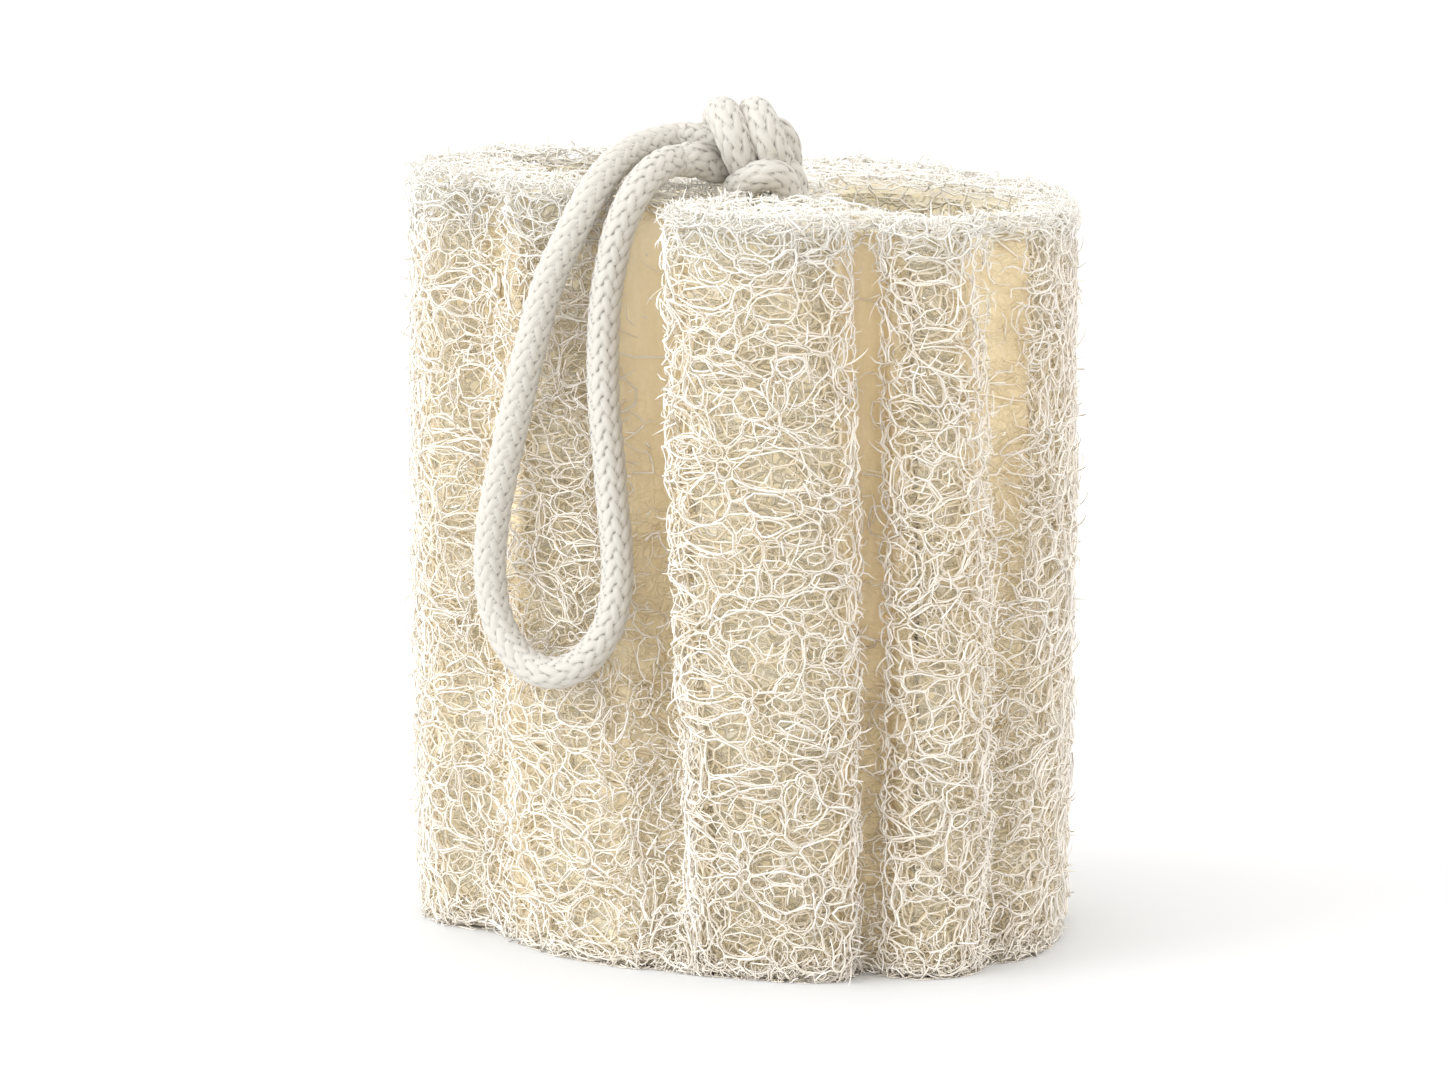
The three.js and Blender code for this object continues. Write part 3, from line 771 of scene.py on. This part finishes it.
# Links of a net as bent fibres: straight from node to node, plus a half sine of sideways sway,
# thicker at both nodes where the real fibres web together
def linkFibres(gathered, net, s, place, seed):
    random = np.random.default_rng(seed)
    nodeDepth = random.uniform(*s["depth"], len(net["nodes"]))
    a, b, da, db = (table[net["links"][:, end]] for table in (net["nodes"], nodeDepth) for end in (0, 1))
    if "thin" in s:
        kept = stays(random, *((a + b) / 2).T, s["thin"])
        a, b, da, db = a[kept], b[kept], da[kept], db[kept]
    n, t = len(a), np.linspace(0, 1, s["segments"] + 1)[None, :]
    along, arch = b - a, np.sin(math.pi * t)
    across = np.stack([-along[:, 1], along[:, 0]], axis=-1)
    sway = spread(random, -s["sway"], s["sway"], n) * arch
    flat = a[:, None] + along[:, None] * t[..., None] + across[:, None] * sway[..., None]
    depth = da[:, None] * (1 - t) + db[:, None] * t + spread(random, -fibre["sag"], fibre["sag"], n) * arch
    size = s["radius"] * spread(random, *fibre["uneven"], n) * (0.85 + 0.5 * (2 * t - 1) ** 2)
    darkest = s.get("darkest", fibre["darkest"])
    layFibres(gathered, place, flat[..., 0], flat[..., 1], depth, size, random, darkest=darkest)


ringLoops = {"share": 0.95, "inset": (0.78, 1.10), "depth": (-0.0006, 0.0008), "radius": (0.00014, 0.00024),
             "tilt": 0.18, "thin": 1.4}
smallLoops = {**ringLoops, "share": 0.28, "inset": (0.75, 1.15), "depth": (-0.0002, 0.0014),
              "radius": (0.00011, 0.00019)}


# Rings round the cells of a net, each on a tilted plane: its depth is one number plus the tilt times the
# place's distance from the ring's middle
def ringFibres(gathered, net, s, seed):
    random = np.random.default_rng(seed)
    rings = netRings(net, s, seed)
    rings = rings[stays(random, *rings.mean(axis=1).T, s["thin"])]
    n, away = len(rings), rings - rings.mean(axis=1)[:, None]
    tilt = random.uniform(-s["tilt"], s["tilt"], (n, 2))
    depth = spread(random, *s["depth"], n) + (away * tilt[:, None]).sum(axis=-1)
    size = spread(random, *s["radius"], n)
    layFibres(gathered, onSlidWall, rings[..., 0], rings[..., 1], depth, size, random, closed=True)


strands = {"count": 300, "steps": 7, "drift": 0.35, "depth": (-0.0006, 0.0008), "radius": (0.00012, 0.00024)}


# Long strands along a net's nodes as quadratic B-splines; the depth rises and falls with a sine
def strandFibres(gathered, net, s, seed):
    random = np.random.default_rng(seed)
    paths = netStrands(net, s, seed)
    n, k = paths.shape[:2]
    t = np.linspace(0, k - 2.001, 2 * k - 3)
    i = np.floor(t).astype(int)
    p, q, r = (paths[:, np.minimum(i + step, k - 1)] for step in range(3))
    flat = rounded(p, q, r, (t - i)[None, :, None])
    wave = np.sin(t[None] * spread(random, 0.5, 1.2, n) + spread(random, 0, 6.3, n))
    low, high = s["depth"]
    depth = low + (high - low) * (0.5 + 0.5 * wave)
    size = spread(random, *s["radius"], n) * np.clip(np.minimum(t, t[-1] - t) / 1.5 + 0.3, 0, 1)
    layFibres(gathered, onSlidWall, flat[..., 0], flat[..., 1], depth, size, random)


edgeStrands = {"perEdge": 6, "beyond": 1.12, "scatter": 0.0006, "length": 0.034, "samples": 26,
               "leastGroove": 0.35, "radius": (0.00012, 0.00024)}


# Strands that climb the lobes' edges, on both sides of each groove, and wander by two sines
def edgeFibres(gathered, s, seed):
    random = np.random.default_rng(seed)
    station, offset = np.array([(g[0], g[1] * side) for g in grooves for side in (-1, 1)]).T
    middle, n = stationAt(station), s["perEdge"]
    u = np.repeat(middle + offset * s["beyond"], n) + random.normal(0, s["scatter"], n * len(middle))
    first = np.tile(np.linspace(0, 1, n, endpoint=False), len(middle)) * wall.length * 0.94
    v = (first[:, None] + np.linspace(0, 1, s["samples"])[None, :] * s["length"]
         + spread(random, 0, 0.004, len(first)))
    v = np.clip(v, 0.0005, wall.length - 0.001)
    deep = grooveAt(np.repeat(middle, n), v[:, s["samples"] // 2 - 1]) > s["leastGroove"]
    u, v = u[deep], v[deep]
    n = len(v)
    u = u[:, None] + (0.0007 * np.sin(v * spread(random, 500, 900, n) + spread(random, 0, 6, n))
                      + 0.0005 * np.sin(v * spread(random, 1300, 2400, n)))
    depth = spread(random, -0.0003, 0.0006, n) + 0.0004 * np.sin(v * 1500)
    layFibres(gathered, onWall, u, v, depth, spread(random, *s["radius"], n), random)


wisps = {"count": 4200, "length": (0.0022, 0.0062), "depth": (0.0000, 0.0022), "radius": (0.00008, 0.00015),
         "rise": (0.002, wall.length - 0.002), "thin": 1.05}
footWisps = {**wisps, "count": 2600, "length": (0.0020, 0.0050), "depth": (0.0000, 0.0024),
             "radius": (0.00011, 0.00020), "rise": (0.0001, 0.0034)}


# Loose fibres: arcs whose heading is one number plus another times t, so that they run mostly round the
# sponge, and whose depth has parts that go with t and t squared, so that they dip under their neighbours
def wispFibres(gathered, s, place, seed):
    random = np.random.default_rng(seed)
    n = s["count"]
    u, v = random.uniform(0, wall.girth, n), random.uniform(*s["rise"], n)
    kept = stays(random, u, v, s["thin"])
    u, v, n = u[kept], v[kept], kept.sum()
    t = np.linspace(-1, 1, 4)[None, :]
    heading = random.normal(0, 0.7, n)[:, None] + random.normal(0, 0.95, n)[:, None] * t
    half = spread(random, *s["length"], n) / 2
    step = half * np.diff(t, axis=1, prepend=-1.5) * random.choice([-1, 1], n)[:, None]
    u = u[:, None] + np.cumsum(step * np.cos(heading), axis=1)
    v = np.clip(v[:, None] + np.cumsum(step * np.sin(heading), axis=1), 0.0001, wall.length - 0.0005)
    depth = (spread(random, *s["depth"], n) + spread(random, -0.0009, 0.0013, n) * t**2
             + spread(random, -0.0007, 0.0007, n) * t)
    depth = np.maximum(depth, s["depth"][0])
    layFibres(gathered, place, u, v, depth, spread(random, *s["radius"], n) * (1 - 0.45 * np.abs(t) ** 3), random)


hooks = {"count": 6500, "length": (0.0012, 0.0044), "lift": (0.35, 1.0), "bend": 1.2, "root": 0.0004,
         "radius": 0.00017}
rimHooks = {**hooks, "count": 2000, "length": (0.0012, 0.0040), "lift": (0.5, 1.1), "below": 0.0045}


# Short broken ends: each starts a little below the surface and bends out along its own way, by t along
# its heading and t squared along its bend
def hookFibres(gathered, u, v, s, place, seed):
    random = np.random.default_rng(seed)
    n, t = len(u), np.linspace(0, 1, 3)[None, :, None]
    start, normal = place(u, v, np.full(n, s["root"]))
    tangent = unit(np.cross(normal, random.normal(size=(n, 3))))
    bend = unit(np.cross(normal, tangent)) * spread(random, -s["bend"], s["bend"], n)
    rise = spread(random, *s["lift"], n)
    low, high = s["length"]
    length = low + (high - low) * random.random((n, 1, 1)) ** 2
    path = start[:, None] + length * (t * (rise * normal + (1.1 - rise) * tangent)[:, None]
                                      + t**2 * 0.5 * bend[:, None] - t**2 * 0.25 * normal[:, None])
    size = s["radius"] * spread(random, *fibre["uneven"], n) * (1 - 0.75 * t[..., 0] ** 2)
    addFibres(gathered, path, size, tangent[:, None] + 0.01, 0.0, random)


curls = {"count": 2300, "length": (0.0026, 0.0060), "turn": (1.2, 3.4), "radius": (0.00014, 0.00022),
         "leanOver": (0.1, 0.9), "root": 0.0003}


# Curls stand out of the wall: each is an arc of a circle in a plane of its own, out by the sine of its
# angle and over by one minus the cosine, and leans over by a share
def curlFibres(gathered, u, v, s, seed):
    random = np.random.default_rng(seed)
    n, t = len(u), np.linspace(0, 1, 6)[None, :]
    start, normal = onWall(u, v, np.full(n, s["root"]))
    across = unit(np.cross(normal, random.normal(size=(n, 3))))
    bend, length = spread(random, *s["turn"], n), spread(random, *s["length"], n)
    angle = bend * t
    out, over = length / bend * np.sin(angle), length / bend * (1 - np.cos(angle))
    lie = spread(random, *s["leanOver"], n)
    path = (start[:, None] + (out * (1 - lie))[..., None] * normal[:, None]
            + (over + out * lie)[..., None] * across[:, None])
    size = spread(random, *s["radius"], n) * (1 - 0.7 * t**2)
    addFibres(gathered, path, size, np.cross(normal, across)[:, None], 0.0, random)


# The last number given for each growth is its seed
def makeNets(material):
    outer = wallNet(outerNet, 11)
    layers = {
        "loofah_net": [(linkFibres, outer, outerNet, onSlidWall, 21)],
        "loofah_loops": [(ringFibres, outer, ringLoops, 31), (strandFibres, outer, strands, 41),
                         (edgeFibres, edgeStrands, 43)],
        "loofah_small_loops": [(ringFibres, wallNet(smallNet, 14), smallLoops, 32)],
        "loofah_loose_fibres": [(wispFibres, wisps, onWall, 45), (wispFibres, footWisps, onFoot, 46)],
        "loofah_second_net": [(linkFibres, wallNet(secondNet, 12), secondNet, onSlidWall, 22)],
        "loofah_deep_net": [(linkFibres, wallNet(thirdNet, 13), thirdNet, onSlidWall, 23)],
    }
    for name, growths in layers.items():
        gathered = newBundle()
        for grow, *given in growths:
            grow(gathered, *given)
        bundlePiece(name, gathered, material)


# Hooks stand everywhere, more of them at the grooves' edges and near both rims; curls stand on the lobes
def makeHooks(material):
    random = np.random.default_rng(51)
    fuzz = newBundle()
    n = 4 * hooks["count"]
    u, v = random.uniform(0, wall.girth, n), random.uniform(0, wall.length, n)
    edge = grooveAt(u, v)
    nearRim = np.exp(-((wall.length - v) / 0.006) ** 2) + 0.6 * np.exp(-(v / 0.005) ** 2)
    weight = 0.20 + 1.0 * (edge > 0.02) * (edge < 0.5) + 0.6 * nearRim - 0.1 * (edge >= 0.5)
    chosen = random.random(n) < weight * hooks["count"] / weight.sum()
    hookFibres(fuzz, u[chosen], v[chosen], hooks, onWall, 52)
    n = rimHooks["count"]
    u, v = random.uniform(0, wall.girth, n), wall.length - random.uniform(0, rimHooks["below"], n)
    hookFibres(fuzz, u, v, rimHooks, onWall, 53)
    n = 4 * curls["count"]
    u, v = random.uniform(0, wall.girth, n), wall.length * (1 - random.random(n) ** 1.3)
    chosen = np.flatnonzero(grooveAt(u, v) < 0.6)[: curls["count"]]
    curlFibres(fuzz, u[chosen], v[chosen], curls, 54)
    bundlePiece("loofah_hooks", fuzz, material)


ends = {"cell": (0.0036, 0.0036), "jitter": 0.42, "leftOut": 0.12, "radius": 0.00017, "sway": 0, "segments": 1,
        "layers": ((-0.0002, 0.0010), (0.0012, 0.0028)), "patch": (0.126, 0.120), "inset": 0.0016}
spikes = {**hooks, "count": (1066, 3200), "length": (0.0006, 0.0020), "lift": (0.5, 1.0)}  # below, and on top
channelNet = {"cell": (0.0044, 0.0037), "jitter": 0.42, "leftOut": 0.10, "depth": (0.0004, 0.0020),
              "radius": 0.00014, "sway": 0, "segments": 1, "darkest": 0.004}


# A cut end's section: inside the outline, drawn in by the inset, and outside the seed channels
def inSection(points, top, inset):
    level = -1 if top else 0
    outline = wall.rings[level] - inset * wall.outward[level]
    return between(points, [outline[::5], *(ring[::4] for ring, _, _ in channels)])


def makeEnds(material):
    gathered = newBundle()
    for top in (True, False):
        for number, depth in enumerate(ends["layers"]):
            s = {**ends, "depth": depth}
            net = layNet(*s["patch"], s, 61 + number + 10 * top, wrap=False)
            net["nodes"] = net["nodes"] - np.array(s["patch"]) / 2
            middle = net["nodes"][net["links"]].mean(axis=1)
            net["links"] = net["links"][inSection(middle, top, s["inset"])]
            linkFibres(gathered, net, s, onEnd(top), 71 + number + 10 * top)
        random = np.random.default_rng(81 + top)
        spots = random.uniform(-0.0625, 0.0625, (5 * spikes["count"][1], 2))
        u, v = spots[inSection(spots, top, 0.001)][: spikes["count"][top]].T
        hookFibres(gathered, u, v, spikes, onEnd(top), 83 + top)
    bundlePiece("loofah_ends", gathered, material)
    walls = newBundle()
    for number, channel in enumerate(channels):
        net = layNet(channel[2], sponge["height"], channelNet, 91 + number)
        linkFibres(walls, net, channelNet, partial(onChannel, channel), 93 + number)
    bundlePiece("loofah_channel_net", walls, material)


heart = {
    "depth": 0.0046,  # below the wall
    "grooveDepth": 0.0014,
    "margin": 0.0035,  # past each groove's edge
    "channelDepth": 0.0024,
    "topDepth": 0.0034,
    "bottomDepth": 0.0005,
    "footDepth": 0.0026,  # where it comes out again just above the floor
    "foot": 0.007,
    "round": 240,
    "up": 44,
    "channelGrid": (60, 30),
    "lumps": 0.0006,
    "channelLumps": 0.00036,
    "lidStep": 0.0025,
}


# Low lumps: three sine waves that don't line up
def lumps(p):
    x, y, z = p[..., 0], p[..., 1], p[..., 2]
    return (np.sin(900 * x + 3 * np.sin(420 * z)) * np.sin(1100 * z + 2 * np.sin(700 * y))
            + np.sin(1300 * y + 500 * z)) / 2


# A flat lid between the first loop and the others: triangles between their points and an even grid's
def makeLid(loops, step):
    x, y = np.meshgrid(np.arange(-0.06, 0.06, step), np.arange(-0.058, 0.058, step))
    inner = np.stack([x.ravel(), y.ravel()], axis=-1)
    edges, start = [], 0
    for ring in loops:
        edges += [(start + n, start + (n + 1) % len(ring)) for n in range(len(ring))]
        start += len(ring)
    corners = [Vector(p) for p in np.vstack([*loops, inner[between(inner, loops)]])]
    found = geometry.delaunay_2d_cdt(corners, edges, [], 0, 1e-9)
    spots, triangles = np.array([tuple(p) for p in found[0]]), np.array(found[2])
    return spots, triangles[between(spots[triangles].mean(axis=1), loops)]


# The pale mass behind the nets: a closed form drawn in from the wall, the channels and both ends. Its
# depth falls from the heart's to the groove's by 3 g^2 - 2 g^3 of the groove's amount g, and to the
# foot's in a straight line just above the floor.
def makeHeart(s, material):
    low, high = s["bottomDepth"], sponge["height"] - s["topDepth"]
    u, z = np.meshgrid(np.arange(s["round"]) / s["round"] * wall.girth, np.linspace(low, high, s["up"]))
    v = np.maximum(z, sponge["rim"]) + wall.rimArc - sponge["rim"]
    near, cleft = (grooveAt(u, v, s["margin"], chosen) for chosen in (grooves, grooves[:1]))
    depth = s["depth"] - (s["depth"] - s["grooveDepth"]) * near * near * (3 - 2 * near)
    depth = depth - (depth - np.minimum(depth, s["footDepth"])) * np.clip(1 - z / s["foot"], 0, 1)
    flat, _ = onWall(u, v, depth)
    _, normal = onWall(u, v, 0 * u)
    flat = flat + normal * (lumps(flat) * s["lumps"] * (1 - near))[..., None]
    flat[..., 2] = z / sponge["height"] * topHeight(flat[..., 0])
    sheets, points, faces = [flat], [], []
    around, up = s["channelGrid"]
    for channel in channels:
        u, z = np.meshgrid(np.arange(around) / around * channel[2], np.linspace(low, high, up))
        spots, normal = onChannel(channel, u, z, np.full(u.shape, s["channelDepth"]))
        sheets.append(spots + normal * (lumps(spots) * s["channelLumps"])[..., None])
    for number, sheet in enumerate(sheets):
        quads = bandFaces(*sheet.shape[:2])
        faces.append(halved(quads[:, ::-1] if number else quads) + sum(map(len, points)))
        points.append(sheet.reshape(-1, 3))
    for level, height, way in ((-1, high, 1), (0, low, -1)):
        spots, triangles = makeLid([sheet[level, :, :2] for sheet in sheets], s["lidStep"])
        faces.append(triangles[:, ::way] + sum(map(len, points)))
        points.append(np.column_stack([spots, height / sponge["height"] * topHeight(spots[:, 0])]))
    points = np.concatenate(points)
    # the groove mask carries the pith's painted shade, the cleft mask its painted light
    values = {name: np.append(amount.ravel(), np.zeros(len(points) - amount.size))
              for name, amount in (("groove", near), ("cleft", cleft))}
    makePiece("loofah_heart", "loofah_sponge", material, points, np.concatenate(faces), values)


fibreLook = {
    "shader": {"Roughness": 0.62, "Specular IOR Level": 0.25},
    # by depth: cream outside and straw within; the darker, warmer deep colour is partly painted shade
    "shade": ((0, (0.98, 0.932, 0.86)), (0.22, (0.98, 0.914, 0.805)), (0.42, (0.975, 0.882, 0.71)),
              (1, (0.97, 0.858, 0.63))),
    "tint": ((0, (0.972, 0.936, 0.88)), (1, (1, 1, 1))),
    "rim": (0.124, 0.137, 0, 0.8),  # the top rim is painted greyer and darker: painted shade that tones down the light on top
    "paintedRimShade": (0.88, 0.855, 0.80, 1),
    "grain": {"scale": 700, "low": 0.95, "high": 1.03, "strength": 0.35, "depth": 0.0001},
}


# Dried fibre: cream outside, straw within, the deeper fibres darker and warmer partly as painted shade, each fibre
# a little different, with faint mottling
def driedFibre(s):
    material, tree = newMaterial("loofah_fibre", s["shader"])
    shade = addRamp(tree, addAttribute(tree, "depth"), s["shade"])
    tint = addRamp(tree, addAttribute(tree, "tint"), s["tint"])
    place = addNode(tree, "TexCoord").outputs["Object"]
    height = addNode(tree, "SeparateXYZ", {"Vector": place}).outputs["Z"]
    # painted shade: fibres near the top rim greyed and darkened
    rim = addRange(tree, height, *s["rim"], way="SMOOTHSTEP")
    rimShaded = addMix(tree, rim, addMix(tree, 1, shade, tint, "MULTIPLY"), s["paintedRimShade"])
    addGrain(tree, place, rimShaded, s["grain"])
    return material


pithLook = {
    "shader": {"Roughness": 0.8},
    "sway": (260, 0.0035),  # how fine and how far the threads bend
    "threads": (((1, 1, 1.4), 300, 0.14), ((1, 1, 1.6), 470, 0.16)),
    "fineThreads": 0.65,
    "spongy": ((1, 1, 2.2), 300, 4),
    "streaks": ((1, 1, 0.06), 900, 3),
    "gaps": ((0.35, (0.955, 0.835, 0.575)), (0.65, (0.975, 0.882, 0.675))),
    "pale": ((0.35, (0.95, 0.87, 0.68)), (0.65, (0.97, 0.90, 0.75))),
    # painted shade: the darker tan of the grooves' smooth strips
    "smooth": ((0.30, (0.80, 0.66, 0.42)), (0.70, (0.86, 0.72, 0.48))),
    # painted light: the cleft's paler tan, lifting its deep recess
    "cleft": ((0.30, (0.89, 0.75, 0.50)), (0.70, (0.93, 0.80, 0.56))),
    "grooveGain": 1.8,
    "bump": {"Strength": 0.8, "Distance": 0.0008},
    "grain": {"scale": 1200, "low": 0.94, "high": 1.04, "strength": 0.3, "depth": 0.0001},
}


# The mass behind: straw, with pale threads that lie round the sponge. In the grooves it is smooth, with faint
# streaks up the wall, and painted a darker tan as painted shade; in the cleft that tan is paler, painted light.
def pith(s):
    material, tree = newMaterial("loofah_pith", s["shader"])
    place = addNode(tree, "TexCoord").outputs["Object"]

    def stretched(vector, scale):
        return addNode(tree, "Mapping", {"Vector": vector, "Scale": scale}).outputs["Vector"]

    def noise(stretch, scale, detail):
        inputs = {"Vector": stretched(place, stretch), "Scale": scale, "Detail": detail}
        return addNode(tree, "TexNoise", inputs).outputs["Fac"]

    def net(stretch, scale, thin):  # pale threads along the walls between cells
        inputs = {"Vector": stretched(bent, stretch), "Scale": scale}
        cells = addNode(tree, "TexVoronoi", inputs, feature="DISTANCE_TO_EDGE")
        return addRange(tree, cells.outputs["Distance"], 0, thin, 1, 0, way="SMOOTHSTEP")

    def worked(operation, a, b):
        return addNode(tree, "Math", {0: a, 1: b}, operation=operation).outputs["Value"]

    fineness, reach = s["sway"]
    wavy = addNode(tree, "TexNoise", {"Vector": place, "Scale": fineness}).outputs["Color"]
    bent = addNode(tree, "VectorMath", {0: wavy, 1: (reach, reach, reach), 2: place}, operation="MULTIPLY_ADD")
    bent = bent.outputs["Vector"]
    wide, fine = (net(*values) for values in s["threads"])
    threads = worked("MAXIMUM", wide, worked("MULTIPLY", fine, s["fineThreads"]))
    spongy, streaks = noise(*s["spongy"]), noise(*s["streaks"])
    gaps, pale = addRamp(tree, spongy, s["gaps"]), addRamp(tree, spongy, s["pale"])
    smooth, paintedCleftLight = addRamp(tree, streaks, s["smooth"]), addRamp(tree, streaks, s["cleft"])
    groove, cleft = addAttribute(tree, "groove"), addAttribute(tree, "cleft")
    rough, even = addMix(tree, threads, gaps, pale), addMix(tree, cleft, smooth, paintedCleftLight)
    # the grooves get the painted shade, the cleft the painted light
    color = addMix(tree, worked("MULTIPLY", groove, s["grooveGain"]), rough, even)
    height = worked("MULTIPLY", threads, worked("SUBTRACT", 1.0, groove))
    bump = addNode(tree, "Bump", {"Height": height, **s["bump"]}).outputs["Normal"]
    addGrain(tree, place, color, s["grain"], bump)
    return material


fibreMaterial, pithMaterial = driedFibre(fibreLook), pith(pithLook)
makeNets(fibreMaterial)
makeHooks(fibreMaterial)
makeEnds(fibreMaterial)
makeHeart(heart, pithMaterial)
print("loofah grown")

stage = {
    "floor": {"Base Color": (0.725, 0.725, 0.725, 1), "Roughness": 0.6},
    "floorSize": 12,
    "sky": {"Color": (1, 1, 1, 1), "Strength": 1.43},
    "keyPlace": (-1.5, -0.5, 0.85),
    "keyAim": 0.07,
    "keySize": 1.5,
    "keyPower": 20,
    "keyColor": (0.88, 0.94, 1.0),
}


def makeStage(s):
    bpy.ops.mesh.primitive_plane_add(size=s["floorSize"], location=(0, 0, 0))
    floor = bpy.context.object
    floor.name = "floor"
    floor.data.materials.append(newMaterial("floor", s["floor"])[0])
    world = bpy.data.worlds.new("world")
    world.use_nodes = True
    for key, value in s["sky"].items():
        world.node_tree.nodes["Background"].inputs[key].default_value = value
    bpy.context.scene.world = world
    key = bpy.data.lights.new("key", "AREA")
    key.size, key.color, key.energy = s["keySize"], s["keyColor"], s["keyPower"]
    aimed("key", key, s["keyPlace"], s["keyAim"])
    bpy.context.scene.view_settings.view_transform = "Standard"


makeStage(stage)
print("stage set")
